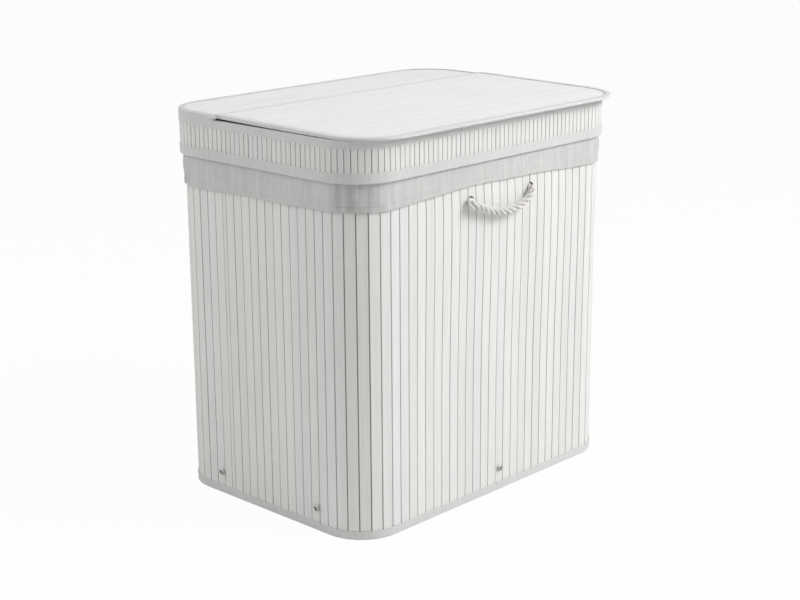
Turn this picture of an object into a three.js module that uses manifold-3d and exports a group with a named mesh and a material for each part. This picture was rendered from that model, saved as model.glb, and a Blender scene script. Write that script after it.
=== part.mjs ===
// Laundry hamper with two bins: upright boards round a wooden base, a lift-out cloth liner with two
// bins, two rope handles, and a lift-off lid whose front part hinges up on a strip of cloth.
// Millimetres, +Z up, the wide front wall faces -Y, and the floor is at z = 0.
import * as THREE from 'three';
import { mergeGeometries, mergeVertices } from 'three/addons/utils/BufferGeometryUtils.js';
import Module from 'manifold-3d';

const wasm = await Module();
wasm.setup();

// Shared by all sub-assemblies
const fitGap = 0.3; // between pieces that touch
const tapeThickness = 0.5; // binding tape
const cutOverrun = 1; // how far a cutter runs past what it cuts

// Body: a rounded rectangle, measured at the outer faces of the boards
const bodyWidth = 580;
const bodyDepth = 411.5;
const cornerRadius = 66.8;
const lidTop = 600; // height of the closed hamper
const wallDrop = 19; // wall's top edge below the lid's top
const wallTop = lidTop - wallDrop;

// Wall boards and the cloth that they are glued to
const widePitch = 17.77; // board pitch on the front and back walls
const narrowPitch = 17.2; // board pitch on the two narrow walls
const cornerPitch = 17.7;
const boardGap = 1.4;
const boardThickness = 2;
const glueWeb = 0.8; // glue film that joins the boards
const backingThickness = 0.6;
const middleBoardX = 13.5; // centre of the front board nearest the middle
const jointFromCorner = 66.55; // from where the left wall begins to turn to the joint board's front edge
const jointBoardWidth = 7.6;

// Tapes and hoop at the wall's edges
const bottomTapeHeight = 13.3;
const topTapeHeight = 17;
const hoopThickness = 5;
const hoopHeight = 14;

// Base: battens behind the walls with a board on top, held by screws through the walls
const screwZ = 36;
const screwFromCorner = 31.95; // from where a narrow wall begins to turn to its screw
const leftScrewShift = 5; // both screws of the left wall sit this much nearer the front
const screwHeadRadius = 5.25;
const screwHeadHeight = 2.6;
const screwShankRadius = 2;
const screwLength = 24;
const screwSides = 8;
const battenHeight = 18;
const battenWidth = 25;
const baseBoardThickness = 5;

// Rope handles
const ropeRadius = 5.75;
const ropeHoleEase = 1.5;
const handleX = 8; // middle of the front handle
const handleSpan = 137.2; // from one hole to the other
const handleDrop = 104.5; // holes below the wall's top edge
const handleZ = wallTop - handleDrop;
const handleStandoff = 12; // rope centre to the wall's face
const handleSag = 25;
const knotRadius = 12;
const knotLength = 17;
const knotEndShare = 0.12; // of the knot's length, where its rounded end turns
const knotTaperShare = 0.33; // of the knot's length, the slope at each end
// Route of the hanging rope: share of the span along, share of the sag down
const handleRouteShares = [
  [0, 0], [0.04, 0.18], [0.1, 0.415], [0.17, 0.63], [0.25, 0.81], [0.33, 0.925], [0.42, 0.985],
  [0.5, 1],
  [0.58, 0.985], [0.67, 0.925], [0.75, 0.81], [0.83, 0.63], [0.9, 0.415], [0.96, 0.18], [1, 0],
];
const ropeSides = 10;
const ropeSteps = 28;

// Liner: a cuff folded over the rim, and a bag with a divider
const linerThickness = 1.2;
const cuffDrop = 91; // cuff's lower edge below the wall's top edge
const cuffBottom = wallTop - cuffDrop;
const cuffEase = 0.5; // between the rim tape and the cuff
const cuffInnerDrop = 23; // how far the cuff reaches down inside
const bagInset = 25; // bag's outer face behind the wall's outer face, clear of the knots
const bagShoulderDrop = 81; // below the wall's top edge, where the bag begins to widen towards the cuff
const bagShoulder = wallTop - bagShoulderDrop;
const dividerThickness = 2.4;
const dividerTopDrop = 31; // divider's top edge below the cuff's top

// Lid: a skirt of short strips under a fixed rear third and a hinged front flap
const lidReach = 7.8; // lid's outer face outside the wall's outer face
const skirtDepth = 68.6; // skirt's lower edge below the lid's top
const skirtTopDrop = 8.5; // strips' upper ends below the lid's top
const skirtTapeHeight = 15.6;
const topTapeDepth = 20; // rim tape's lower edge below the lid's top
const skirtBottom = lidTop - skirtDepth;
const skirtTop = lidTop - skirtTopDrop;
const topTapeBottom = lidTop - topTapeDepth;
const stripPitch = 9.78;
const stripGap = 1.3;
const stripThickness = 1.5;
const stripWeb = 0.6;
const lidClothThickness = 0.4;
const frameInner = 12; // frame's inner edge behind the wall's outer face
const topTapeWrap = 10; // tape's width on the top surface
const crossbarWidth = 20;

// Hinge and flap
const rearTopDepth = 121.75; // from the back wall's outer face to the hinge line
const hingeRise = 1; // flap's top face above the fixed top
const hingeZ = lidTop + hingeRise;
const hingeClothThickness = 0.5;
const hingeClothHeight = 7.4;
const flapLeftReach = 4; // flap's edges outside the wall's outer faces
const flapRightReach = 12.5;
const flapFrontReach = 22.95;
const flapCornerRadius = 80;
const topStripPitch = 10;
const topStripGap = 0.9;

// A rounded rectangle walked anticlockwise from the back end of its left side
function roundedOutline(left, right, front, back, radius) {
  const arc = (Math.PI / 2) * radius;
  const across = right - left - 2 * radius;
  const along = back - front - 2 * radius;
  const runs = [
    { x: left, y: back - radius, dx: 0, dy: -1, length: along },
    { cx: left + radius, cy: front + radius, from: Math.PI, length: arc },
    { x: left + radius, y: front, dx: 1, dy: 0, length: across },
    { cx: right - radius, cy: front + radius, from: 1.5 * Math.PI, length: arc },
    { x: right, y: front + radius, dx: 0, dy: 1, length: along },
    { cx: right - radius, cy: back - radius, from: 0, length: arc },
    { x: right - radius, y: back, dx: -1, dy: 0, length: across },
    { cx: left + radius, cy: back - radius, from: 0.5 * Math.PI, length: arc },
  ];
  let travelled = 0;
  for (const run of runs) {
    run.start = travelled;
    travelled += run.length;
  }
  const [, frontLeftArc, frontRun, frontRightArc, rightRun, backRightArc, backRun, backLeftArc] = runs;
  return {
    length: travelled,
    arcs: { frontLeftArc, frontRightArc, backRightArc, backLeftArc },
    onLeft: (y) => back - radius - y,
    onFront: (x) => frontRun.start + x - left - radius,
    onRight: (y) => rightRun.start + y - front - radius,
    onBack: (x) => backRun.start + right - radius - x,
    at(distance, offset) {
      const s = ((distance % travelled) + travelled) % travelled;
      const run = runs.findLast((candidate) => candidate.start <= s);
      const t = s - run.start;
      if (run.dx !== undefined) {
        const x = run.x + run.dx * t + run.dy * offset;
        const y = run.y + run.dy * t - run.dx * offset;
        return new THREE.Vector2(x, y);
      }
      const angle = run.from + t / radius;
      const reach = radius + offset;
      return new THREE.Vector2(run.cx + reach * Math.cos(angle), run.cy + reach * Math.sin(angle));
    },
  };
}

const halfWidth = bodyWidth / 2;
const halfDepth = bodyDepth / 2;
const straightHalfWidth = halfWidth - cornerRadius;
const straightHalfDepth = halfDepth - cornerRadius;
const jointY = straightHalfDepth - jointFromCorner;
const hingeY = halfDepth - rearTopDepth;
const flapLeft = -halfWidth - flapLeftReach;
const flapRight = halfWidth + flapRightReach;
const flapDepth = hingeY + halfDepth + flapFrontReach;
const body = roundedOutline(-halfWidth, halfWidth, -halfDepth, halfDepth, cornerRadius);

// Values from one end to the other in whole steps
function stepped(from, to, step) {
  const count = Math.floor(Math.abs(to - from) / step);
  const sign = Math.sign(to - from);
  return Array.from({ length: count + 1 }, (_, i) => from + sign * step * i);
}

// Equal divisions of a run, as near to the pitch as they come
function divided(from, to, pitch) {
  const count = Math.max(1, Math.round((to - from) / pitch));
  return Array.from({ length: count + 1 }, (_, i) => from + ((to - from) * i) / count);
}

// Where one board ends and the next begins, as distances round the body
function wallEdges() {
  const boardsLeftOfMiddle = Math.floor((straightHalfWidth + middleBoardX) / widePitch - 1 / 2);
  const firstFrontX = middleBoardX - (boardsLeftOfMiddle + 1 / 2) * widePitch;
  const frontXs = stepped(firstFrontX, straightHalfWidth, widePitch);
  const leftFrontYs = stepped(jointY, -straightHalfDepth, narrowPitch);
  const leftRearYs = stepped(jointY + jointBoardWidth, straightHalfDepth, narrowPitch).reverse();
  const rightYs = stepped(-leftFrontYs.at(-1), -straightHalfDepth, narrowPitch).reverse();
  const edges = {
    left_rear: leftRearYs.map(body.onLeft),
    left_front: leftFrontYs.map(body.onLeft),
    front: frontXs.map(body.onFront),
    right: rightYs.map(body.onRight),
    back: frontXs.map((x) => body.onBack(-x)),
  };
  const toLeftRear = body.length + edges.left_rear[0];
  edges.front_left_corner = divided(edges.left_front.at(-1), edges.front[0], cornerPitch);
  edges.front_right_corner = divided(edges.front.at(-1), edges.right[0], cornerPitch);
  edges.back_right_corner = divided(edges.right.at(-1), edges.back[0], cornerPitch);
  edges.back_left_corner = divided(edges.back.at(-1), toLeftRear, cornerPitch);
  return edges;
}

// Where the skirt's strips meet: each straight side and each corner is divided by itself
function skirtEdges() {
  const { frontLeftArc, frontRightArc, backRightArc, backLeftArc } = body.arcs;
  const cornerStripPitch = (stripPitch * cornerRadius) / (cornerRadius + lidReach);
  const corner = (arc) => divided(arc.start, arc.start + arc.length, cornerStripPitch);
  const side = (from, to) => divided(from.start + from.length, to, stripPitch);
  return {
    left: divided(0, frontLeftArc.start, stripPitch),
    front_left_corner: corner(frontLeftArc),
    front: side(frontLeftArc, frontRightArc.start),
    front_right_corner: corner(frontRightArc),
    right: side(frontRightArc, backRightArc.start),
    back_right_corner: corner(backRightArc),
    back: side(backRightArc, backLeftArc.start),
    back_left_corner: corner(backLeftArc),
  };
}

const cornerOrder = ['front_left_corner', 'front_right_corner', 'back_right_corner', 'back_left_corner'];
const boards = wallEdges();
const strips = skirtEdges();
const wallStations = cornerOrder.map((name) => boards[name]);
const lidStations = cornerOrder.map((name) => strips[name]);

// Sends every face outwards
function facedOut(geometry) {
  const p = geometry.attributes.position;
  const index = geometry.index.array;
  const [a, b, c] = [new THREE.Vector3(), new THREE.Vector3(), new THREE.Vector3()];
  let volume = 0;
  for (let i = 0; i < index.length; i += 3) {
    a.fromBufferAttribute(p, index[i]);
    b.fromBufferAttribute(p, index[i + 1]);
    c.fromBufferAttribute(p, index[i + 2]);
    volume += a.dot(b.cross(c));
  }
  if (volume < 0) {
    for (let i = 0; i < index.length; i += 3) {
      [index[i], index[i + 1]] = [index[i + 1], index[i]];
    }
  }
  geometry.computeVertexNormals();
  return geometry;
}

// A section of (offset, z) points carried along an outline, closed into a ring or capped at its ends
function carried(outline, distances, section, closed) {
  const positions = [];
  for (const s of distances) {
    for (const [offset, z] of section) {
      const point = outline.at(s, offset);
      positions.push(point.x, point.y, z);
    }
  }
  const sides = section.length;
  const steps = closed ? distances.length : distances.length - 1;
  const index = [];
  for (let i = 0; i < steps; i++) {
    const here = i * sides;
    const there = ((i + 1) % distances.length) * sides;
    for (let k = 0; k < sides; k++) {
      const next = (k + 1) % sides;
      index.push(here + k, there + k, there + next, here + k, there + next, here + next);
    }
  }
  if (!closed) {
    const flat = section.map(([offset, z]) => new THREE.Vector2(offset, z));
    const last = (distances.length - 1) * sides;
    const clockwise = THREE.ShapeUtils.isClockWise(flat);
    for (const face of THREE.ShapeUtils.triangulateShape(flat, [])) {
      const reversed = [...face].reverse();
      const [first, second] = clockwise ? [reversed, face] : [face, reversed];
      index.push(...first, ...second.map((vertex) => vertex + last));
    }
  }
  const geometry = new THREE.BufferGeometry();
  geometry.setAttribute('position', new THREE.Float32BufferAttribute(positions, 3));
  geometry.setIndex(index);
  return facedOut(geometry);
}

const rectangle = (inner, outer, low, high) => [[inner, low], [outer, low], [outer, high], [inner, high]];

// A tape folded over an edge: its fold is at z = fold, its legs end at z = innerEnd and outerEnd
function foldedTape(inner, outer, thickness, fold, innerEnd, outerEnd) {
  const turn = fold > outerEnd ? -thickness : thickness;
  return [
    [inner, innerEnd], [inner, fold], [outer, fold], [outer, outerEnd], [outer - thickness, outerEnd],
    [outer - thickness, fold + turn], [inner + thickness, fold + turn], [inner + thickness, innerEnd],
  ];
}

function extruded(points, low, high) {
  const geometry = new THREE.ExtrudeGeometry(new THREE.Shape(points), {
    depth: high - low,
    bevelEnabled: false,
  });
  return geometry.translate(0, 0, low);
}

const leastTurn = 0.1; // square mm spanned by three neighbouring edges, below which they are in line

// Boards side by side on a thin web of glue, with open grooves between them
function boardPanel(edges, face, thickness, web, gap, low, high) {
  const halfGap = gap / 2;
  const outer = [];
  const inner = [];
  const last = edges.length - 1;
  for (let i = 0; i < last; i++) {
    const from = edges[i] + halfGap;
    const to = edges[i + 1] - halfGap;
    outer.push(body.at(from, face - thickness), body.at(from, face));
    outer.push(body.at(to, face), body.at(to, face - thickness));
  }
  const webFace = face - thickness - web;
  inner.push(body.at(edges[0] + halfGap, webFace));
  for (let i = 1; i < last; i++) {
    const [before, here, after] = [edges[i - 1], edges[i], edges[i + 1]].map((s) => body.at(s, webFace));
    const turn = here.clone().sub(before).cross(after.sub(here));
    if (Math.abs(turn) > leastTurn) inner.push(here);
  }
  inner.push(body.at(edges[last] - halfGap, webFace));
  return extruded([...outer, ...inner.reverse()], low, high);
}

function toSolid(geometry) {
  const bare = geometry.clone();
  bare.deleteAttribute('normal');
  bare.deleteAttribute('uv');
  const merged = mergeVertices(bare);
  return new wasm.Manifold(new wasm.Mesh({
    numProp: 3,
    vertProperties: new Float32Array(merged.attributes.position.array),
    triVerts: new Uint32Array(merged.index.array),
  }));
}

function cut(geometry, cutters) {
  const mesh = toSolid(geometry).subtract(toSolid(mergeGeometries(cutters))).getMesh();
  const result = new THREE.BufferGeometry();
  result.setAttribute('position', new THREE.BufferAttribute(mesh.vertProperties, 3));
  result.setIndex(new THREE.BufferAttribute(mesh.triVerts, 1));
  result.computeVertexNormals();
  return result;
}

// A drill through a wall: along Y for the front and back walls, along X for the narrow ones
function drill(x, y, z, radius, depth, sides, along) {
  const geometry = new THREE.CylinderGeometry(radius, radius, 2 * depth, sides);
  if (along === 'x') geometry.rotateZ(Math.PI / 2);
  return geometry.translate(x, y, z);
}

const finishes = {
  painted_boards: { color: 0xeeeeea, roughness: 0.55 },
  binding_tape: { color: 0xcfcfce, roughness: 0.9 },
  liner_linen: { color: 0xcbcbc8, roughness: 0.95 },
  backing_cloth: { color: 0xe2e2df, roughness: 0.95 },
  cotton_rope: { color: 0xe6e2da, roughness: 0.95 },
  bare_wood: { color: 0xd8bf95, roughness: 0.7 },
  screw_steel: { color: 0xb9b9b8, roughness: 0.3, metalness: 1 },
};

function piece(name, finish, geometry) {
  const mesh = new THREE.Mesh(geometry, new THREE.MeshStandardMaterial(finishes[finish]));
  mesh.name = name;
  return mesh;
}

// Layers of the wall, as offsets from the boards' outer faces
const wallLow = tapeThickness + fitGap;
const webInner = -(boardThickness + glueWeb);
const backingOuter = webInner - fitGap;
const wallInner = backingOuter - backingThickness;
const hoopOuter = wallInner - fitGap;
const hoopInner = hoopOuter - hoopThickness;
const rimInner = hoopInner - fitGap - tapeThickness;
const rimTop = wallTop + fitGap + tapeThickness;
const tapeFace = fitGap + tapeThickness;

const sideScrewY = straightHalfDepth - screwFromCorner;
const screwPlaces = [
  { name: 'front', x: middleBoardX, y: -halfDepth, along: 'y' },
  { name: 'back', x: -middleBoardX, y: halfDepth, along: 'y' },
  { name: 'left_front', x: -halfWidth, y: -sideScrewY - leftScrewShift, along: 'x' },
  { name: 'left_rear', x: -halfWidth, y: sideScrewY - leftScrewShift, along: 'x' },
  { name: 'right_front', x: halfWidth, y: -sideScrewY, along: 'x' },
  { name: 'right_rear', x: halfWidth, y: sideScrewY, along: 'x' },
];

const handleHalfSpan = handleSpan / 2;
const ropeHolePlaces = [
  { name: 'front_left', x: handleX - handleHalfSpan, y: -halfDepth },
  { name: 'front_right', x: handleX + handleHalfSpan, y: -halfDepth },
  { name: 'back_left', x: -handleX - handleHalfSpan, y: halfDepth },
  { name: 'back_right', x: -handleX + handleHalfSpan, y: halfDepth },
];

const wallDepth = -wallInner + cutOverrun;
const screwDrill = (place, depth) =>
  drill(place.x, place.y, screwZ, screwShankRadius + fitGap, depth, screwSides, place.along);
const ropeDrill = (place) =>
  drill(place.x, place.y, handleZ, ropeRadius + ropeHoleEase, wallDepth, ropeSides, 'y');

function screwDrills(...names) {
  const places = screwPlaces.filter((place) => names.includes(place.name));
  return places.map((place) => screwDrill(place, wallDepth));
}

function ropeDrills(side) {
  return ropeHolePlaces.filter((place) => place.name.startsWith(side)).map(ropeDrill);
}

// What is drilled through each run of boards
const wallDrills = {
  front: [...screwDrills('front'), ...ropeDrills('front')],
  back: [...screwDrills('back'), ...ropeDrills('back')],
  left_front: screwDrills('left_front'),
  left_rear: screwDrills('left_rear'),
  right: screwDrills('right_front', 'right_rear'),
};

function wallBoards() {
  return Object.entries(boards).map(([name, edges]) => {
    const panel = boardPanel(edges, 0, boardThickness, glueWeb, boardGap, wallLow, wallTop);
    const drills = wallDrills[name];
    return piece(`wall_boards_${name}`, 'painted_boards', drills ? cut(panel, drills) : panel);
  });
}

// The narrow board where the mat's two ends meet on the left wall
function jointBoard() {
  const edges = [boards.left_rear.at(-1), boards.left_front[0]];
  const panel = boardPanel(edges, 0, boardThickness, glueWeb, 2 * fitGap, wallLow, wallTop);
  return piece('wall_joint_board', 'painted_boards', panel);
}

function wallBacking() {
  const section = rectangle(wallInner, backingOuter, wallLow, wallTop);
  const ring = carried(body, wallStations.flat(), section, true);
  return piece('wall_backing_cloth', 'backing_cloth', cut(ring, Object.values(wallDrills).flat()));
}

function wallEdgePieces() {
  const stations = wallStations.flat();
  const bottomInner = wallInner - fitGap - tapeThickness;
  const bottom = foldedTape(bottomInner, tapeFace, tapeThickness, 0, bottomTapeHeight, bottomTapeHeight);
  const legEnd = rimTop - topTapeHeight;
  const top = foldedTape(rimInner, tapeFace, tapeThickness, rimTop, legEnd, legEnd);
  const hoop = rectangle(hoopInner, hoopOuter, wallTop - hoopHeight, wallTop);
  return [
    piece('wall_bottom_tape', 'binding_tape', carried(body, stations, bottom, true)),
    piece('wall_top_tape', 'binding_tape', carried(body, stations, top, true)),
    piece('rim_hoop', 'bare_wood', carried(body, stations, hoop, true)),
  ];
}

const battenTop = screwZ + battenHeight / 2;
const battenOuter = wallInner - fitGap;
const baseBoardTop = battenTop + fitGap + baseBoardThickness;

// Battens stop a board short of the corners, where the wall begins to turn
function battens() {
  const low = screwZ - battenHeight / 2;
  const acrossY = halfDepth + battenOuter - battenWidth / 2;
  const acrossX = halfWidth + battenOuter - battenWidth / 2;
  const wideLength = 2 * (straightHalfWidth - cornerPitch);
  const narrowLength = 2 * (straightHalfDepth - cornerPitch);
  const sizes = {
    front: { x: 0, y: -acrossY, length: wideLength, along: 'y' },
    back: { x: 0, y: acrossY, length: wideLength, along: 'y' },
    left: { x: -acrossX, y: 0, length: narrowLength, along: 'x' },
    right: { x: acrossX, y: 0, length: narrowLength, along: 'x' },
  };
  return Object.entries(sizes).map(([name, size]) => {
    const [lengthX, lengthY] = size.along === 'y' ? [size.length, battenWidth] : [battenWidth, size.length];
    const bar = new THREE.BoxGeometry(lengthX, lengthY, battenHeight);
    bar.translate(size.x, size.y, low + battenHeight / 2);
    const screws = screwPlaces.filter((place) => place.name.startsWith(name));
    const drills = screws.map((place) => screwDrill(place, screwLength + fitGap));
    return piece(`base_batten_${name}`, 'bare_wood', cut(bar, drills));
  });
}

function baseBoard() {
  const points = wallStations.flat().map((s) => body.at(s, battenOuter));
  return piece('base_board', 'bare_wood', extruded(points, battenTop + fitGap, baseBoardTop));
}

// Turns a piece lathed about +Z so that +Z points out of a wall
function facing(mesh, place, along) {
  if (along === 'y') mesh.rotation.x = place.y < 0 ? Math.PI / 2 : -Math.PI / 2;
  else mesh.rotation.y = place.x < 0 ? -Math.PI / 2 : Math.PI / 2;
  return mesh;
}

function lathed(points, sides) {
  return new THREE.LatheGeometry(points.map(([r, z]) => new THREE.Vector2(r, z)), sides).rotateX(Math.PI / 2);
}

function screws() {
  const headTop = fitGap + screwHeadHeight;
  const profile = [
    [0, -screwLength], [screwShankRadius, -screwLength], [screwShankRadius, fitGap],
    [screwHeadRadius, fitGap], [screwHeadRadius, fitGap + screwHeadHeight / 2],
    [screwHeadRadius / 2, headTop], [0, headTop],
  ];
  return screwPlaces.map((place) => {
    const mesh = piece(`base_screw_${place.name}`, 'screw_steel', lathed(profile, screwSides));
    mesh.position.set(place.x, place.y, screwZ);
    return facing(mesh, place, place.along);
  });
}

// The rope's end: it runs through its hole and is knotted inside the wall
function ropeEnds() {
  const tip = handleStandoff - ropeRadius - fitGap;
  const knotStart = wallInner - fitGap;
  const knotEnd = knotStart - knotLength;
  const shoulder = (knotRadius + ropeRadius) / 2;
  const taper = knotTaperShare * knotLength;
  const profile = [
    [0, knotEnd], [shoulder, knotEnd + knotEndShare * knotLength], [knotRadius, knotEnd + taper],
    [knotRadius, knotStart - taper], [shoulder, knotStart], [ropeRadius, knotStart],
    [ropeRadius, tip], [0, tip],
  ];
  return ropeHolePlaces.map((place) => {
    const mesh = piece(`rope_end_${place.name}`, 'cotton_rope', lathed(profile, ropeSides));
    mesh.position.set(place.x, place.y, handleZ);
    return facing(mesh, place, 'y');
  });
}

// The hanging part of a rope handle, from over one hole to over the other
function ropeHandle(name, centreX, wallY) {
  const y = wallY + Math.sign(wallY) * handleStandoff;
  const left = centreX - handleHalfSpan;
  const points = handleRouteShares.map(([along, down]) =>
    new THREE.Vector3(left + along * 2 * handleHalfSpan, y, handleZ - down * handleSag));
  const circle = new THREE.Shape();
  for (let i = 0; i < ropeSides; i++) {
    const angle = (2 * Math.PI * i) / ropeSides;
    const [x, z] = [ropeRadius * Math.cos(angle), ropeRadius * Math.sin(angle)];
    if (i === 0) circle.moveTo(x, z);
    else circle.lineTo(x, z);
  }
  const tube = new THREE.ExtrudeGeometry(circle, {
    steps: ropeSteps,
    extrudePath: new THREE.CatmullRomCurve3(points),
    bevelEnabled: false,
  });
  return piece(`${name}_rope_handle`, 'cotton_rope', tube);
}

const cuffTop = rimTop + fitGap + linerThickness;
const cuffInnerFace = rimInner - fitGap - linerThickness;
const bagTop = cuffTop - cuffInnerDrop - fitGap;
const bagFloor = baseBoardTop + fitGap;
const bagLow = bagFloor + linerThickness + fitGap;
const bagInner = -(bagInset + linerThickness);

function linerPieces() {
  const stations = wallStations.flat();
  const cuffFace = tapeFace + cuffEase + linerThickness;
  const innerEnd = cuffTop - cuffInnerDrop;
  const cuff = foldedTape(cuffInnerFace, cuffFace, linerThickness, cuffTop, innerEnd, cuffBottom);
  const bag = [
    [cuffInnerFace, bagTop], [bagInner, bagShoulder], [bagInner, bagLow],
    [-bagInset, bagLow], [-bagInset, bagShoulder], [cuffInnerFace + linerThickness, bagTop],
  ];
  const dividerHigh = cuffTop - dividerTopDrop;
  const dividerDepth = 2 * (halfDepth + bagInner - fitGap);
  const divider = new THREE.BoxGeometry(dividerThickness, dividerDepth, dividerHigh - bagLow);
  divider.translate(0, 0, (dividerHigh + bagLow) / 2);
  const [frontLeft, frontRight, backRight, backLeft] = wallStations;
  const seam = dividerThickness / 2 + fitGap;
  const floorPlate = (distances) =>
    extruded(distances.map((s) => body.at(s, bagInner - fitGap)), bagFloor, bagFloor + linerThickness);
  const leftFloor = floorPlate([body.onBack(-seam), ...backLeft, ...frontLeft, body.onFront(-seam)]);
  const rightFloor = floorPlate([body.onFront(seam), ...frontRight, ...backRight, body.onBack(seam)]);
  return [
    piece('liner_cuff', 'liner_linen', carried(body, stations, cuff, true)),
    piece('liner_bag', 'liner_linen', carried(body, stations, bag, true)),
    piece('liner_divider', 'liner_linen', divider),
    piece('liner_floor_left', 'liner_linen', leftFloor),
    piece('liner_floor_right', 'liner_linen', rightFloor),
  ];
}

// Layers of the lid's skirt, as offsets from the wall's outer face
const stripFace = lidReach - tapeThickness - fitGap;
const stripInner = stripFace - stripThickness - stripWeb;
const skirtClothOuter = stripInner - fitGap;
const skirtClothInner = skirtClothOuter - lidClothThickness;
const skirtInner = skirtClothInner - fitGap - tapeThickness;
const skirtLow = skirtBottom + tapeThickness + fitGap;

// Layers of the fixed top, from the top down
const panelTop = lidTop - tapeThickness - fitGap;
const panelLow = panelTop - stripThickness - stripWeb;
const panelClothTop = panelLow - fitGap;
const panelClothLow = panelClothTop - lidClothThickness;
const railTop = panelClothLow - fitGap;
const frameLow = cuffTop + fitGap;
const frameOuter = skirtInner - fitGap;
const hingeGap = hingeClothThickness / 2 + fitGap; // hinge line to the panels' edges
const rearY = hingeY + hingeGap;
const frontY = hingeY - hingeGap;

const [lidFrontLeft, lidFrontRight, lidBackRight, lidBackLeft] = lidStations;
const alongFront = [body.onLeft(frontY), ...lidFrontLeft, ...lidFrontRight, body.onRight(frontY)];
const alongRear = [
  body.onRight(rearY), ...lidBackRight, ...lidBackLeft, body.length + body.onLeft(rearY),
];

function skirtStrips() {
  return Object.entries(strips).map(([name, edges]) => {
    const panel = boardPanel(edges, stripFace, stripThickness, stripWeb, stripGap, skirtLow, skirtTop);
    return piece(`lid_strips_${name}`, 'painted_boards', panel);
  });
}

function lidTapes() {
  const bottomEnd = skirtBottom + skirtTapeHeight;
  const bottom = foldedTape(skirtInner, lidReach, tapeThickness, skirtBottom, bottomEnd, bottomEnd);
  const frontTop = skirtTop + fitGap + tapeThickness;
  const front = foldedTape(skirtInner, lidReach, tapeThickness, frontTop, topTapeBottom, topTapeBottom);
  const wrapEnd = lidReach - topTapeWrap;
  const rear = [
    [lidReach, topTapeBottom], [lidReach, lidTop], [wrapEnd, lidTop], [wrapEnd, lidTop - tapeThickness],
    [lidReach - tapeThickness, lidTop - tapeThickness], [lidReach - tapeThickness, topTapeBottom],
  ];
  return [
    piece('lid_bottom_tape', 'binding_tape', carried(body, lidStations.flat(), bottom, true)),
    piece('lid_rim_tape_front', 'binding_tape', carried(body, alongFront, front, false)),
    piece('lid_rim_tape_rear', 'binding_tape', carried(body, alongRear, rear, false)),
  ];
}

function lidFrame() {
  const ring = rectangle(-frameInner, frameOuter, frameLow, skirtTop);
  const rail = rectangle(-frameInner, stripFace, skirtTop + fitGap, railTop);
  const barLength = 2 * (halfWidth - frameInner - fitGap);
  const crossbar = new THREE.BoxGeometry(barLength, crossbarWidth, railTop - frameLow);
  crossbar.translate(0, rearY + crossbarWidth / 2, (railTop + frameLow) / 2);
  const clothWidth = 2 * (halfWidth + stripFace);
  const hingeCloth = new THREE.BoxGeometry(clothWidth, hingeClothThickness, hingeClothHeight);
  hingeCloth.translate(0, hingeY, lidTop - hingeClothHeight / 2);
  const skirtCloth = rectangle(skirtClothInner, skirtClothOuter, skirtLow, skirtTop);
  return [
    piece('lid_skirt_cloth', 'backing_cloth', carried(body, lidStations.flat(), skirtCloth, true)),
    piece('lid_frame', 'bare_wood', carried(body, lidStations.flat(), ring, true)),
    piece('lid_rear_rail', 'bare_wood', carried(body, alongRear, rail, false)),
    piece('lid_crossbar', 'bare_wood', crossbar),
    piece('hinge_cloth', 'backing_cloth', hingeCloth),
  ];
}

// Strips side by side that run along X, on a thin web of glue
function stripPlate(points, low, width, firstGroove, lastGroove) {
  const plate = extruded(points, low, low + stripWeb + stripThickness);
  const depth = stripThickness + cutOverrun;
  const grooves = stepped(firstGroove, lastGroove, topStripPitch).slice(1).map((y) => {
    const groove = new THREE.BoxGeometry(width + 2 * cutOverrun, topStripGap, depth);
    return groove.translate(0, y, low + stripWeb + depth / 2);
  });
  return cut(plate, grooves);
}

function lidRear() {
  const points = alongRear.map((s) => body.at(s, stripFace));
  const width = bodyWidth + 2 * lidReach;
  const lastGroove = halfDepth + stripFace - topStripPitch / 2;
  return [
    piece('lid_rear_panel', 'painted_boards', stripPlate(points, panelLow, width, rearY, lastGroove)),
    piece('lid_rear_cloth', 'backing_cloth', extruded(points, panelClothLow, panelClothTop)),
  ];
}

// Layers of the flap, down from its top face at the hinge line
const flapStripLow = -(tapeThickness + fitGap + stripThickness + stripWeb);
const flapClothTop = flapStripLow - fitGap;
const flapClothLow = flapClothTop - lidClothThickness;
const flapBottom = flapClothLow - fitGap - tapeThickness;

// The flap's front rests on the rim, so it slopes a little from the hinge
const flapRestDrop = hingeZ + flapBottom - (skirtTop + fitGap + tapeThickness + fitGap);
const flapTilt = Math.atan(flapRestDrop / (hingeY + halfDepth + lidReach));

function flapPieces() {
  const flapBack = flapCornerRadius - hingeGap;
  const edge = roundedOutline(flapLeft, flapRight, -flapDepth, flapBack, flapCornerRadius);
  const { frontLeftArc, frontRightArc } = edge.arcs;
  const corner = (arc) => divided(arc.start, arc.start + arc.length, stripPitch);
  const route = [0, ...corner(frontLeftArc), ...corner(frontRightArc), edge.onRight(-hingeGap)];
  const plateInset = -(tapeThickness + fitGap);
  const points = route.map((s) => edge.at(s, plateInset));
  const width = 2 * Math.max(-flapLeft, flapRight);
  const lastGroove = -flapDepth + topStripPitch / 2;
  const plate = stripPlate(points, flapStripLow, width, -hingeGap, lastGroove);
  const wrap = -topTapeWrap;
  const tape = [
    [wrap, 0], [0, 0], [0, flapBottom], [wrap, flapBottom], [wrap, flapBottom + tapeThickness],
    [-tapeThickness, flapBottom + tapeThickness], [-tapeThickness, -tapeThickness], [wrap, -tapeThickness],
  ];
  const flap = new THREE.Group();
  flap.add(
    piece('flap_panel', 'painted_boards', plate),
    piece('flap_cloth', 'backing_cloth', extruded(points, flapClothLow, flapClothTop)),
    piece('flap_edge_tape', 'binding_tape', carried(edge, route, tape, false)),
  );
  flap.position.set(0, hingeY, hingeZ);
  flap.rotation.x = flapTilt;
  return flap;
}

function assembled(...members) {
  const group = new THREE.Group();
  group.add(...members.flat());
  return group;
}

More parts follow.
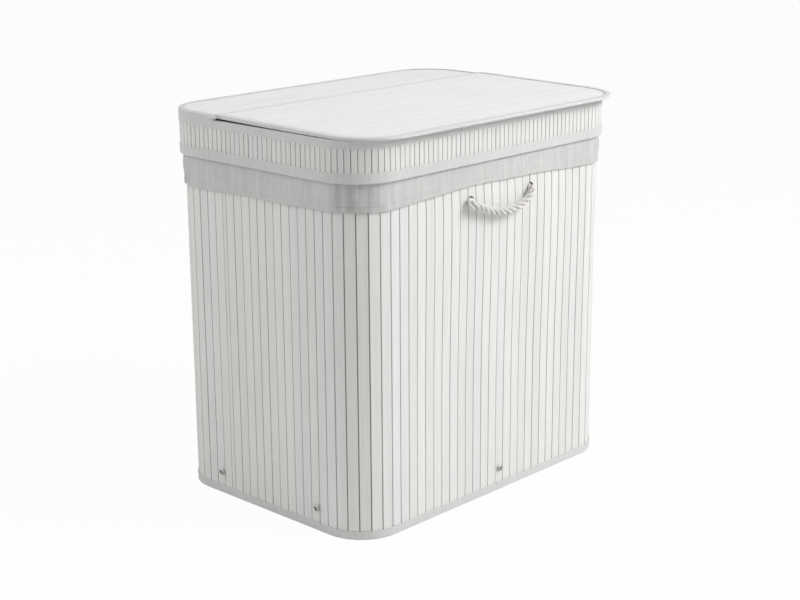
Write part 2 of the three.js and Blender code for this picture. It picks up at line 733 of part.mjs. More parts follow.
const base = assembled(
  wallBoards(), jointBoard(), wallBacking(), wallEdgePieces(), battens(), baseBoard(), screws(), ropeEnds(),
);
const handles = assembled(
  ropeHandle('front', handleX, -halfDepth), ropeHandle('back', -handleX, halfDepth),
);
const liner = assembled(linerPieces());
const lid = assembled(skirtStrips(), lidTapes(), lidFrame(), lidRear());

// The origin is on the floor, at the middle of the whole outline, which the flap widens
const hamper = assembled(base, handles, liner, lid, flapPieces());
const lowX = Math.min(-halfWidth - lidReach, flapLeft);
const highX = Math.max(halfWidth + lidReach, flapRight);
const lowY = hingeY - flapDepth * Math.cos(flapTilt);
const highY = halfDepth + lidReach;
hamper.position.set(-(lowX + highX) / 2, -(lowY + highY) / 2, 0);
hamper.updateMatrixWorld(true);

export default hamper;
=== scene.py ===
"""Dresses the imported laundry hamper: painted boards, woven tapes, linen, ropes and a strip lid.

Lengths are millimetres, measured from the middle of the wall's outline on the floor, with the wide
front wall towards -Y. Meshes are built at one thousandth of them, and Piece.finish moves each one by
the frame's own shift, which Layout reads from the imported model.
"""

from __future__ import annotations

import logging
import math
import random
from collections.abc import Callable, Iterable, Sequence
from dataclasses import dataclass, field
from enum import Enum

import bmesh
import bpy
from bpy.types import ID, Material, Mesh, Node, NodeSocket, NodeTree, Object
from mathutils import Matrix, Vector, noise

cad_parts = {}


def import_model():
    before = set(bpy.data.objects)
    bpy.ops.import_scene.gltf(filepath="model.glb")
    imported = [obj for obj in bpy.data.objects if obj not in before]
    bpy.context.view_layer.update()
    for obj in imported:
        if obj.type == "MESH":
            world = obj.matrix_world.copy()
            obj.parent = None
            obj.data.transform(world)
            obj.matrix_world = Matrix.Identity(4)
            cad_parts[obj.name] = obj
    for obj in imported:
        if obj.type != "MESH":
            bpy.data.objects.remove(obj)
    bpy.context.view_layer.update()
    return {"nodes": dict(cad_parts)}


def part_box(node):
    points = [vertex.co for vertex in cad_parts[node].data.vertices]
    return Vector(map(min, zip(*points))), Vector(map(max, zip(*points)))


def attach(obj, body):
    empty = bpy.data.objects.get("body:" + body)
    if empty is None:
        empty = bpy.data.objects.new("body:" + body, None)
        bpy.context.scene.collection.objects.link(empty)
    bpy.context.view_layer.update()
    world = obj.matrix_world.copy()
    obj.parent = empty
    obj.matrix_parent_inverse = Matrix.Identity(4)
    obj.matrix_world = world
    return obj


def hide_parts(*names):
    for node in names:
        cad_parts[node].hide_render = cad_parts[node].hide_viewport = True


log = logging.getLogger("hamper")

Triple = tuple[float, float, float]

MM = 0.001
FULL_TURN = 2.0 * math.pi
QUARTER_TURN = 0.5 * math.pi
# How far a unit vector reaches along an axis when it counts as lying along it.
ALIGNED = 0.9
WHITE = (1.0, 1.0, 1.0, 1.0)


class Slot(Enum):
    """The record's material slots, one named by each new piece."""

    BOARDS = "painted_boards"
    TAPE = "binding_tape"
    LINEN = "liner_linen"
    BACKING = "backing_cloth"
    ROPE = "cotton_rope"
    STEEL = "screw_steel"


class Grain(Enum):
    """Which way the fibres of a board run; the value is the axis number."""

    CROSSWISE = 0
    UPRIGHT = 2

    def scale(self, across: float, along: float) -> Triple:
        """A pattern's scale on the three axes, from its scale across and along the fibres."""
        return tuple(along if axis == self.value else across for axis in range(3))


class Wall(Enum):
    """The two wide walls; the value is the sign of Y at the wall."""

    FRONT = -1
    BACK = 1


class Pick(Enum):
    """What an edit mode selection is made of."""

    EDGES = "EDGE"
    FACES = "FACE"


class Smoothing(Enum):
    """Up to which angle, in degrees, an edge is shaded smooth."""

    STRIP = 15.0
    SCREW = 35.0
    SHEET = 38.0
    PAD = 60.0


def smoothstep(low: float, high: float, value: float) -> float:
    """Rises smoothly from 0 at low to 1 at high."""
    share = min(1.0, max(0.0, (value - low) / (high - low)))
    return share * share * (3.0 - 2.0 * share)


def stepped(start: float, end: float, step: float) -> list[float]:
    """Values from start towards end in whole steps."""
    stride = math.copysign(step, end - start)
    return [start + stride * i for i in range(int(abs(end - start) / step) + 1)]


def divided(start: float, end: float, pitch: float) -> list[float]:
    """Equal divisions of a run, as near to the pitch as they come."""
    count = max(1, round(abs(end - start) / pitch))
    return [start + (end - start) * i / count for i in range(count + 1)]


@dataclass(frozen=True)
class RoundedOutline:
    """A rounded rectangle walked anticlockwise from the back end of its left side."""

    left: float
    right: float
    front: float
    back: float
    radius: float

    @property
    def across(self) -> float:
        """Length of the straight part of the front and back."""
        return self.right - self.left - 2.0 * self.radius

    @property
    def along(self) -> float:
        """Length of the straight part of the two sides."""
        return self.back - self.front - 2.0 * self.radius

    @property
    def arc(self) -> float:
        """Length of one corner."""
        return QUARTER_TURN * self.radius

    @property
    def starts(self) -> list[float]:
        """Where each run begins: side, corner, side and so on.

        Returns:
            The distances of the eight beginnings, with the whole length last.
        """
        starts = [0.0]
        for straight in (self.along, self.across, self.along, self.across):
            starts.append(starts[-1] + straight)
            starts.append(starts[-1] + self.arc)
        return starts

    @property
    def length(self) -> float:
        """Length of the whole outline."""
        return self.starts[-1]

    def grown(self, reach: float) -> RoundedOutline:
        """The outline moved out by reach."""
        sides = self.left - reach, self.right + reach, self.front - reach, self.back + reach
        return RoundedOutline(*sides, self.radius + reach)

    def run_at(self, distance: float) -> int:
        """The number of the run that a distance along the outline lies in; corners are odd."""
        starts = self.starts
        return max(i for i in range(8) if starts[i] <= distance % starts[-1] + 1e-9)

    def way_round(self, distance: float, radius: float) -> tuple[float, float]:
        """A place on a circle, as far round it as the distance is round the outline."""
        turn = FULL_TURN * (distance % self.length) / self.length
        return radius * math.cos(turn), radius * math.sin(turn)

    def at(self, distance: float, offset: float = 0.0) -> tuple[Vector, float]:
        """Finds a point on the outline.

        Args:
            distance: How far along the outline.
            offset: How far outside it.

        Returns:
            The point, and the heading there as an angle from +X.
        """
        run = self.run_at(distance)
        t = distance % self.length - self.starts[run]
        radius = self.radius
        corners = {
            0: (self.left, self.back - radius),
            1: (self.left + radius, self.front + radius),
            2: (self.left + radius, self.front),
            3: (self.right - radius, self.front + radius),
            4: (self.right, self.front + radius),
            5: (self.right - radius, self.back - radius),
            6: (self.right - radius, self.back),
            7: (self.left + radius, self.back - radius),
        }
        base = Vector(corners[run])
        side_heading = QUARTER_TURN * (run // 2 - 1)
        if run % 2:
            heading = side_heading + t / radius
            outward = Vector((math.sin(heading), -math.cos(heading)))
            return base + outward * (radius + offset), heading
        ahead = Vector((math.cos(side_heading), math.sin(side_heading)))
        outward = Vector((ahead.y, -ahead.x))
        return base + ahead * t + outward * offset, side_heading

    def on_left(self, y: float) -> float:
        """Distance along the outline of a place on the left side."""
        return self.back - self.radius - y

    def on_front(self, x: float) -> float:
        """Distance along the outline of a place on the front."""
        return self.starts[2] + x - self.left - self.radius

    def on_right(self, y: float) -> float:
        """Distance along the outline of a place on the right side."""
        return self.starts[4] + y - self.front - self.radius

    def on_back(self, x: float) -> float:
        """Distance along the outline of a place on the back."""
        return self.starts[6] + self.right - self.radius - x

    def marks(self, start: float, end: float, straight_step: float, corner_step: float) -> list[float]:
        """Divides a part of the outline, with a mark wherever a run begins.

        Args:
            start: The first mark.
            end: The last mark.
            straight_step: About how far apart the marks are on the sides.
            corner_step: The same on the corners.

        Returns:
            The marks' distances along the outline.
        """
        turns = [s + lap * self.length for lap in (0, 1) for s in self.starts[:-1]]
        stops = sorted({start, end, *(s for s in turns if start < s < end)})
        marks = [start]
        for here, there in zip(stops, stops[1:]):
            step = corner_step if self.run_at(0.5 * (here + there)) % 2 else straight_step
            marks.extend(divided(here, there, step)[1:])
        return marks

    def span_at(self, y: float, inset: float = 0.0) -> tuple[float, float]:
        """Finds how far the outline reaches at one y.

        Args:
            y: Where to look.
            inset: How far inside the outline to stay.

        Returns:
            The lowest and the highest x.
        """
        radius = self.radius - inset
        into_corner = max(0.0, self.front + self.radius - y, y - self.back + self.radius)
        pulled = radius - math.sqrt(max(0.0, radius * radius - min(into_corner, radius) ** 2))
        return self.left + inset + pulled, self.right - inset - pulled


def rounded_path(points: Sequence[tuple[float, float]], radius: float, steps: int = 4) -> list[Vector]:
    """Rounds the corners of an open path.

    Args:
        points: The path's corners.
        radius: How far from a corner its rounding begins.
        steps: Segments in each rounded corner.

    Returns:
        The points of the rounded path.
    """
    corners = [Vector(point) for point in points]
    path = [corners[0]]
    for before, here, after in zip(corners, corners[1:], corners[2:]):
        start = here + (before - here).normalized() * min(radius, 0.5 * (before - here).length)
        end = here + (after - here).normalized() * min(radius, 0.5 * (after - here).length)
        for i in range(steps + 1):
            t = i / steps
            path.append(start * (1 - t) ** 2 + here * 2 * t * (1 - t) + end * t * t)
    path.append(corners[-1])
    return path


def subdivided(path: Sequence[Vector], step: float) -> list[Vector]:
    """Divides a path's long stretches.

    Args:
        path: The path.
        step: The longest stretch to leave.

    Returns:
        The path's points and the new ones between them.
    """
    points = [path[0]]
    for before, after in zip(path, path[1:]):
        count = max(1, math.ceil((after - before).length / step))
        points.extend(before.lerp(after, (i + 1) / count) for i in range(count))
    return points


def running_lengths(points: Sequence[Vector]) -> list[float]:
    """Measures a path.

    Args:
        points: The path.

    Returns:
        How far along the path each of its points is.
    """
    lengths = [0.0]
    for before, after in zip(points, points[1:]):
        lengths.append(lengths[-1] + (after - before).length)
    return lengths


def smooth_route(points: Sequence[Vector], step: float) -> list[Vector]:
    """Draws a smooth curve through points.

    Args:
        points: The points.
        step: About how far apart the curve's own points are.

    Returns:
        The curve's points.
    """
    padded = [points[0] * 2 - points[1], *points, points[-1] * 2 - points[-2]]
    route = [points[0].copy()]
    for a, b, c, d in zip(padded, padded[1:], padded[2:], padded[3:]):
        count = max(1, round((c - b).length / step))
        for i in range(1, count + 1):
            t = i / count
            curve = 2 * b + (c - a) * t + (2 * a - 5 * b + 4 * c - d) * t * t
            curve += (3 * b - a - 3 * c + d) * t**3
            route.append(curve * 0.5)
    return route


@dataclass(frozen=True)
class Layout:
    """The hamper's driving sizes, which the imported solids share."""

    half_width: float = 290.0
    half_depth: float = 205.75
    corner_radius: float = 66.8
    wall_top: float = 581.0
    wide_pitch: float = 17.77
    narrow_pitch: float = 17.2
    corner_pitch: float = 17.7
    middle_board_x: float = 13.5
    joint_y: float = 72.4
    joint_width: float = 7.6
    lid_top: float = 600.0
    hinge_y: float = 84.0
    hinge_z: float = 601.0
    flap_tilt: float = math.atan(4.0 / 297.55)
    handle_x: float = 8.0
    handle_span: float = 137.2
    handle_z: float = 476.5
    screw_z: float = 36.0
    side_screw_y: float = 107.0
    left_screw_shift: float = 5.0
    bow_depth: float = 4.3
    bow_rise: tuple[float, float] = (190.0, 440.0)
    bow_fall: tuple[float, float] = (468.0, 534.0)
    bow_reach: float = 32.0

    @property
    def body(self) -> RoundedOutline:
        """The wall's outer face."""
        return RoundedOutline(
            -self.half_width, self.half_width, -self.half_depth, self.half_depth, self.corner_radius
        )

    def shift(self) -> Vector:
        """Where the wall's middle lies in the frame, in metres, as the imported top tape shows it."""
        low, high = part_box("wall_top_tape")
        return Vector((0.5 * (low.x + high.x), 0.5 * (low.y + high.y), 0.0))

    def bow(self, point: Vector) -> float:
        """Finds how far the wide walls bow outwards, which is most just under the cuff.

        Args:
            point: A place on or beside a wide wall.

        Returns:
            How far the wall is pushed out there.
        """
        side = self.half_width - self.corner_radius
        across = max(0.0, 1.0 - (point.x / side) ** 2) + 0.35 * smoothstep(0.0, side, point.x)
        upward = smoothstep(*self.bow_rise, point.z) * (1.0 - 0.9 * smoothstep(*self.bow_fall, point.z))
        ends = 1.0 - smoothstep(side, self.half_width, abs(point.x))
        return self.bow_depth * across * upward * ends

    def bowed(self, point: Vector) -> Vector:
        """A point moved outwards with the wide wall that it is on or beside."""
        beside = abs(point.y) >= self.half_depth - self.bow_reach
        return point + Vector((0.0, math.copysign(self.bow(point), point.y) if beside else 0.0, 0.0))


LAYOUT = Layout()


def deselect_all() -> None:
    """Leaves edit mode and deselects every object."""
    if bpy.context.mode != "OBJECT":
        bpy.ops.object.mode_set(mode="OBJECT")
    bpy.ops.object.select_all(action="DESELECT")


def activate(*objects: Object) -> None:
    """Selects these objects alone and makes the first one active.

    Args:
        objects: The objects.
    """
    deselect_all()
    for obj in objects:
        obj.select_set(True)
    bpy.context.view_layer.objects.active = objects[0]


def start_edit(obj: Object, kind: Pick) -> None:
    """Opens an object in edit mode with nothing selected.

    Args:
        obj: The object.
        kind: What will be picked.
    """
    activate(obj)
    bpy.ops.object.mode_set(mode="EDIT")
    bpy.ops.mesh.select_mode(type=kind.value)
    bpy.ops.mesh.select_all(action="DESELECT")


def pick(obj: Object, kind: Pick, test: Callable[[Vector, Vector], bool]) -> None:
    """Selects in edit mode the edges or faces that pass a test.

    Args:
        obj: The object in edit mode.
        kind: Edges or faces.
        test: Takes the middle of the element in millimetres, and its direction or normal.
    """
    shape = bmesh.from_edit_mesh(obj.data)
    if kind is Pick.FACES:
        for face in shape.faces:
            face.select_set(test(face.calc_center_median() / MM, face.normal))
    else:
        for edge in shape.edges:
            start, end = (vertex.co for vertex in edge.verts)
            edge.select_set(test((start + end) / (2 * MM), (end - start).normalized()))
    bmesh.update_edit_mesh(obj.data)


def pick_all() -> None:
    """Selects everything in edit mode."""
    bpy.ops.mesh.select_all(action="SELECT")


def end_edit() -> None:
    """Goes back to object mode."""
    bpy.ops.object.mode_set(mode="OBJECT")


def apply_modifier(obj: Object, kind: str, **settings: object) -> None:
    """Adds a modifier and applies it.

    Args:
        obj: The object.
        kind: The modifier's type.
        settings: The modifier's attributes.
    """
    activate(obj)
    modifier = obj.modifiers.new(kind.lower(), kind)
    for name, value in settings.items():
        setattr(modifier, name, value)
    bpy.ops.object.modifier_apply(modifier=modifier.name)


def joined(objects: Sequence[Object]) -> Object:
    """Joins objects into the first of them.

    Args:
        objects: The objects.

    Returns:
        The first object.
    """
    activate(*objects)
    bpy.ops.object.join()
    return objects[0]


def new_object(name: str, data: ID) -> Object:
    """Puts an object with this data in the scene.

    Args:
        name: The object's name.
        data: Its mesh, camera or lamp.

    Returns:
        The object.
    """
    obj = bpy.data.objects.new(name, data)
    bpy.context.scene.collection.objects.link(obj)
    return obj


def toned(mesh: Mesh, tone: float) -> None:
    """Stores one tone for the paint on all of a mesh's vertices."""
    values = mesh.attributes.new("tone", "FLOAT", "POINT").data
    values.foreach_set("value", [tone] * len(mesh.vertices))


def smooth_edges(obj: Object, upto: Smoothing) -> None:
    """Shades an object's blunt edges smooth."""
    activate(obj)
    bpy.ops.object.shade_smooth_by_angle(angle=math.radians(upto.value))


def face_outwards(obj: Object) -> None:
    """Turns all faces of a closed shell outwards.

    Args:
        obj: The shell's object.
    """
    start_edit(obj, Pick.FACES)
    pick_all()
    bpy.ops.mesh.normals_make_consistent(inside=False)
    end_edit()


def discard(obj: Object) -> None:
    """Removes a working object and its mesh.

    Args:
        obj: The object.
    """
    mesh = obj.data
    bpy.data.objects.remove(obj)
    bpy.data.meshes.remove(mesh)


def moved(obj: Object, move: Callable[[Vector], Vector]) -> None:
    """Moves every vertex by a rule that reads and gives millimetres."""
    for vertex in obj.data.vertices:
        vertex.co = move(vertex.co / MM) * MM


def wrapped_sheet(
    across: Sequence[float],
    up: Sequence[float],
    place: Callable[[float, int], Vector],
    thickness: float,
    closed: bool,
    steady: float = -1.0,
) -> Object:
    """Lays a grid of cells along a surface and gives it thickness.

    Args:
        across: Distances of the grid's columns, which also become U in metres.
        up: Distances of its rows, which also become V in metres.
        place: Takes a column's distance and a row's number, and gives the point in millimetres.
        thickness: Thickness of the cloth.
        closed: Whether the last column meets the first.
        steady: Solidify's offset, -1 where the grid is the outer face.

    Returns:
        The sheet's object.
    """
    deselect_all()
    columns, rows = len(across) - 1, len(up) - 1
    bpy.ops.mesh.primitive_grid_add(x_subdivisions=columns, y_subdivisions=rows, size=1.0, calc_uvs=True)
    sheet = bpy.context.object
    mesh = sheet.data
    cell = {}
    for vertex in mesh.vertices:
        column = round((vertex.co.x + 0.5) * columns)
        row = round((vertex.co.y + 0.5) * rows)
        cell[vertex.index] = (column, row)
        vertex.co = place(across[column], row) * MM
    layer = mesh.uv_layers.active.data
    for loop in mesh.loops:
        column, row = cell[loop.vertex_index]
        layer[loop.index].uv = (across[column] * MM, up[row] * MM)
    if closed:
        start_edit(sheet, Pick.FACES)
        pick_all()
        bpy.ops.mesh.remove_doubles(threshold=0.01 * MM)
        end_edit()
    if thickness:
        apply_modifier(sheet, "SOLIDIFY", thickness=thickness * MM, offset=steady, use_even_offset=True)
    smooth_edges(sheet, Smoothing.SHEET)
    return sheet


@dataclass
class Piece:
    """One finished piece: what it is called, what it stands for and what carries it."""

    name: str
    body: str
    slot: Slot
    replaced: tuple[str, ...]

    def finish(self, obj: Object, look: Material) -> None:
        """Names, places and dresses a modelled object, hangs it on its body and hides the solids it
        replaces.

        Args:
            obj: The modelled object, at the origin.
            look: Its material.
        """
        obj.name = self.name
        obj.data.name = self.name
        obj.data.transform(Matrix.Translation(LAYOUT.shift()))
        obj.data.materials.clear()
        obj.data.materials.append(look)
        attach(obj, self.body)
        if self.replaced:
            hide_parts(*self.replaced)
        log.info("%s: %d faces, rides on %s", self.name, len(obj.data.polygons), self.body)


def scaled_colour(colour: Sequence[float], share: float) -> tuple[float, ...]:
    """A colour with each of its channels at this share."""
    return tuple(channel * share for channel in colour)


class Graph:
    """Adds and links the nodes of one node tree."""

    noise_roughness: float = 0.6
    # The Mix node's colour sockets go by number, because its other kinds of socket have the same names.
    mix_share: int = 0
    mix_first: int = 6
    mix_second: int = 7
    mix_result: int = 2

    def __init__(self, tree: NodeTree) -> None:
        """Takes the tree to build in."""
        self.tree = tree

    def feed(self, node: Node, inputs: dict) -> None:
        """Sets or links a node's sockets.

        Args:
            node: The node.
            inputs: Socket name or number to a value or to the socket that feeds it.
        """
        for key, value in inputs.items():
            if isinstance(value, NodeSocket):
                self.tree.links.new(value, node.inputs[key])
            else:
                node.inputs[key].default_value = value

    def add(self, kind: str, inputs: dict | None = None, **settings: object) -> Node:
        """Adds a node.

        Args:
            kind: The node's type name.
            inputs: Its sockets, as feed takes them.
            settings: Attributes of the node.

        Returns:
            The node.
        """
        node = self.tree.nodes.new(kind)
        for name, value in settings.items():
            setattr(node, name, value)
        self.feed(node, inputs or {})
        return node

    def math(self, operation: str, *values: object) -> NodeSocket:
        """The result of a Math node."""
        return self.add("ShaderNodeMath", dict(enumerate(values)), operation=operation).outputs[0]

    def apart(self, first: object, second: object) -> NodeSocket:
        """How far apart two values are."""
        return self.math("ABSOLUTE", self.math("SUBTRACT", first, second))

    def blended(self, first: object, second: object, share: float) -> NodeSocket:
        """The sum of two values, with this share of the first and the rest of the second."""
        parts = self.math("MULTIPLY", first, share), self.math("MULTIPLY", second, 1.0 - share)
        return self.math("ADD", *parts)

    def vector(self, operation: str, *values: object) -> NodeSocket:
        """The result of a Vector Math node."""
        return self.add("ShaderNodeVectorMath", dict(enumerate(values)), operation=operation).outputs[0]

    def axes(self, vector: object) -> Sequence[NodeSocket]:
        """The three parts of a vector."""
        return self.add("ShaderNodeSeparateXYZ", {0: vector}).outputs

    def mapped(self, vector: object, scale: Sequence[float]) -> NodeSocket:
        """A vector scaled by a Mapping node."""
        return self.add("ShaderNodeMapping", {"Vector": vector, "Scale": scale}).outputs[0]

    def noise(self, vector: object, scale: float = 1.0, detail: float = 2.0) -> NodeSocket:
        """A noise from 0 to 1 at a scale per unit of the vector."""
        sockets = {"Vector": vector, "Scale": scale, "Detail": detail, "Roughness": self.noise_roughness}
        return self.add("ShaderNodeTexNoise", sockets).outputs[0]

    def ranged(
        self, value: object, low: float, high: float, bottom: float = 0.0, top: float = 1.0
    ) -> NodeSocket:
        """A value mapped from low and high to bottom and top, and held there."""
        sockets = {0: value, 1: low, 2: high, 3: bottom, 4: top}
        return self.add("ShaderNodeMapRange", sockets).outputs[0]

    def tinted(self, share: object, first: Sequence[float], second: Sequence[float]) -> NodeSocket:
        """A mix of two colours."""
        sockets = {self.mix_share: share, self.mix_first: (*first, 1.0), self.mix_second: (*second, 1.0)}
        return self.add("ShaderNodeMix", sockets, data_type="RGBA").outputs[self.mix_result]

    def shaded(self, colour: NodeSocket, shade: object) -> NodeSocket:
        """Multiplies a colour.

        Args:
            colour: The colour.
            shade: A value or another colour.

        Returns:
            The product.
        """
        sockets = {self.mix_share: 1.0, self.mix_first: colour, self.mix_second: shade}
        mix = self.add("ShaderNodeMix", sockets, data_type="RGBA", blend_type="MULTIPLY")
        return mix.outputs[self.mix_result]

    def darkened(
        self, colour: NodeSocket, mask: object, depth: float, low: float = 0.0, high: float = 1.0
    ) -> NodeSocket:
        """A colour that loses this share of itself as a mask goes from low to high."""
        return self.shaded(colour, self.ranged(mask, low, high, bottom=1.0, top=1.0 - depth))


@dataclass(frozen=True)
class Socket:
    """One socket of a node group's interface."""

    name: str
    kind: str = "NodeSocketFloat"
    value: float = 0.0


class EffectLibrary:
    """The node groups that several materials share, each built once."""

    board_spread: Triple = (37.0, 53.0, 71.0)
    thread_drift: float = 1.6
    warp_slub_run: Triple = (0.45, 0.02, 1.0)
    weft_slub_run: Triple = (0.022, 0.55, 1.0)
    weft_slub_share: float = 0.25
    cloud_share: float = 0.7

    def __init__(self) -> None:
        """Builds every group."""
        self.grain = self._grain()
        self.weave = self._weave()
        self.mottle = self._mottle()

    @staticmethod
    def _start(
        name: str, inputs: Iterable[Socket], outputs: Iterable[Socket]
    ) -> tuple[Graph, dict, Node]:
        """Opens a new group.

        Args:
            name: The group's name.
            inputs: Its input sockets.
            outputs: Its output sockets.

        Returns:
            The group's graph, its input sockets by name, and its output node.
        """
        tree = bpy.data.node_groups.new(name, "ShaderNodeTree")
        for socket in inputs:
            item = tree.interface.new_socket(socket.name, in_out="INPUT", socket_type=socket.kind)
            if socket.kind == "NodeSocketFloat":
                item.default_value = socket.value
        for socket in outputs:
            tree.interface.new_socket(socket.name, in_out="OUTPUT", socket_type=socket.kind)
        graph = Graph(tree)
        source = graph.add("NodeGroupInput")
        return graph, {s.name: s for s in source.outputs if s.name}, graph.add("NodeGroupOutput")

    def _grain(self) -> NodeTree:
        """Fine streaks, broad clouds and pores along a board, shifted from board to board.

        Returns:
            The group.
        """
        graph, source, sink = self._start(
            "board_grain",
            [Socket("Vector", "NodeSocketVector"), Socket("Shift")],
            [Socket("Streaks"), Socket("Clouds"), Socket("Pores")],
        )
        shift = graph.add("ShaderNodeCombineXYZ", dict.fromkeys(range(3), source["Shift"])).outputs[0]
        place = graph.vector("ADD", source["Vector"], graph.vector("MULTIPLY", shift, self.board_spread))
        pores = graph.noise(place, scale=2.6, detail=1.0)
        outputs = {
            "Streaks": graph.noise(place, scale=1.0, detail=3.0),
            "Clouds": graph.noise(place, scale=0.16, detail=2.0),
            "Pores": graph.ranged(pores, low=0.62, high=0.78),
        }
        graph.feed(sink, outputs)
        return graph.tree

    def _weave(self) -> NodeTree:
        """A plain weave on a map in metres: thread height, and slubs along both sets of threads.

        Returns:
            The group.
        """
        graph, source, sink = self._start(
            "plain_weave",
            [Socket("Vector", "NodeSocketVector"), Socket("Threads", value=1200.0)],
            [Socket("Height"), Socket("Slubs")],
        )
        sockets = {0: source["Vector"], "Scale": source["Threads"]}
        scaled = graph.add("ShaderNodeVectorMath", sockets, operation="SCALE").outputs[0]
        uneven = graph.math("SUBTRACT", graph.noise(scaled, scale=0.12, detail=2.0), 0.5)
        drift = graph.math("MULTIPLY", uneven, self.thread_drift)
        u, v = (graph.math("ADD", way, drift) for way in graph.axes(scaled)[:2])
        waves = (graph.math("SINE", graph.math("MULTIPLY", way, math.pi)) for way in (u, v))
        warp, weft = (graph.math("ABSOLUTE", wave) for wave in waves)
        cells = graph.math("ADD", graph.math("FLOOR", u), graph.math("FLOOR", v))
        parity = graph.math("PINGPONG", cells, 1.0)
        over = graph.add("ShaderNodeMix", {0: parity, 2: warp, 3: weft}).outputs[0]
        weft_slubs = graph.noise(graph.mapped(scaled, self.weft_slub_run), detail=3.0)
        warp_slubs = graph.noise(graph.mapped(scaled, self.warp_slub_run), detail=3.0)
        slubs = graph.blended(weft_slubs, warp_slubs, self.weft_slub_share)
        graph.feed(sink, {"Height": over, "Slubs": slubs})
        return graph.tree

    def _mottle(self) -> NodeTree:
        """Soft uneven tone over a whole piece, as handling and light wear leave it.

        Returns:
            The group.
        """
        graph, source, sink = self._start(
            "soft_mottle",
            [Socket("Vector", "NodeSocketVector"), Socket("Depth", value=0.05)],
            [Socket("Shade")],
        )
        cloud = graph.noise(source["Vector"], scale=6.0, detail=3.0)
        fleck = graph.noise(source["Vector"], scale=90.0, detail=2.0)
        tone = graph.blended(cloud, fleck, self.cloud_share)
        worn = graph.ranged(tone, low=0.35, high=0.65, bottom=1.0, top=0.0)
        dark = graph.math("MULTIPLY", worn, source["Depth"])
        graph.feed(sink, {"Shade": graph.math("SUBTRACT", 1.0, dark)})
        return graph.tree


@dataclass(frozen=True)
class Finish:
    """What every finish has: a colour, a roughness and the shared effects."""

    effects: EffectLibrary
    name: str
    colour: Triple
    roughness: float

    def start(self) -> tuple[Material, Graph, Node]:
        """Opens a new material.

        Returns:
            The material, its graph and its Principled shader.
        """
        material = bpy.data.materials.new(self.name)
        material.use_nodes = True
        shader = material.node_tree.nodes["Principled BSDF"]
        shader.inputs["Roughness"].default_value = self.roughness
        return material, Graph(material.node_tree), shader

    def effect(self, graph: Graph, group: NodeTree, inputs: dict) -> Node:
        """Places a shared effect in the material."""
        return graph.add("ShaderNodeGroup", inputs, node_tree=group)

    def object_place(self, graph: Graph) -> NodeSocket:
        """Object coordinates."""
        return graph.add("ShaderNodeTexCoord").outputs["Object"]

    def cloth_place(self, graph: Graph) -> NodeSocket:
        """The piece's own map, in metres of cloth."""
        return graph.add("ShaderNodeUVMap", uv_map="UVMap").outputs[0]

    def mottled(self, graph: Graph, colour: NodeSocket, depth: float) -> NodeSocket:
        """A colour with the soft mottle over it."""
        inputs = {"Vector": self.object_place(graph), "Depth": depth}
        return graph.shaded(colour, self.effect(graph, self.effects.mottle, inputs).outputs["Shade"])

    def grain_lines(self, graph: Graph, scale: Triple, shift: object) -> list[NodeSocket]:
        """The shared grain's streaks, clouds and pores, with Object coordinates scaled like this."""
        inputs = {"Vector": graph.mapped(self.object_place(graph), scale), "Shift": shift}
        return list(self.effect(graph, self.effects.grain, inputs).outputs)

    def dress(
        self,
        graph: Graph,
        shader: Node,
        colour: NodeSocket,
        height: NodeSocket,
        bump: float,
        depth: float,
    ) -> None:
        """Feeds a colour and a bump to the shader.

        Args:
            graph: The material's graph.
            shader: Its Principled shader.
            colour: The colour.
            height: The bump's height, from 0 to 1.
            bump: The bump's strength.
            depth: The height of a full bump, in millimetres.
        """
        sockets = {"Height": height, "Strength": bump, "Distance": depth * MM}
        normal = graph.add("ShaderNodeBump", sockets).outputs[0]
        graph.feed(shader, {"Base Color": colour, "Normal": normal})


@dataclass(frozen=True)
class PaintedBoardFinish(Finish):
    """Warm white paint over split bamboo: fibres show as faint lines, and boards differ a little."""

    grain: Grain = Grain.UPRIGHT
    fibre: float = 620.0
    fibre_run: float = 5.0
    streak_depth: float = 0.06
    cloud_depth: float = 0.035
    pore_depth: float = 0.07
    mottle_depth: float = 0.03
    board_tone: float = 0.945
    hue_depth: float = 1.0
    hue_spread: float = 7.3
    warm_losses: Triple = (0.0, 0.004, 0.022)
    cool_losses: Triple = (0.018, 0.01, 0.0)
    gloss_spread: tuple[float, float] = (-0.06, 0.08)

    def material(self) -> Material:
        """Builds the material.

        Returns:
            The material.
        """
        material, graph, shader = self.start()
        tone = graph.add("ShaderNodeAttribute", attribute_name="tone").outputs["Fac"]
        scale = self.grain.scale(self.fibre, self.fibre_run)
        streaks, clouds, pores = self.grain_lines(graph, scale, tone)
        dark = scaled_colour(self.colour, 1.0 - self.streak_depth)
        colour = graph.tinted(graph.ranged(streaks, low=0.42, high=0.66), self.colour, dark)
        colour = graph.darkened(colour, clouds, self.cloud_depth, low=0.3, high=0.7)
        colour = graph.shaded(colour, graph.ranged(tone, low=0.0, high=1.0, bottom=self.board_tone))
        colour = graph.darkened(colour, pores, self.pore_depth)
        colour = self.mottled(graph, colour, self.mottle_depth)
        warm, cool = (
            tuple(1.0 - self.hue_depth * loss for loss in losses)
            for losses in (self.warm_losses, self.cool_losses)
        )
        hue = graph.math("FRACT", graph.math("MULTIPLY", tone, self.hue_spread))
        colour = graph.shaded(colour, graph.tinted(hue, warm, cool))
        smooth, rough = (self.roughness + change for change in self.gloss_spread)
        gloss = graph.ranged(clouds, low=0.3, high=0.7, bottom=smooth, top=rough)
        graph.feed(shader, {"Roughness": gloss})
        self.dress(graph, shader, colour, graph.math("SUBTRACT", streaks, pores), bump=0.35, depth=0.12)
        return material


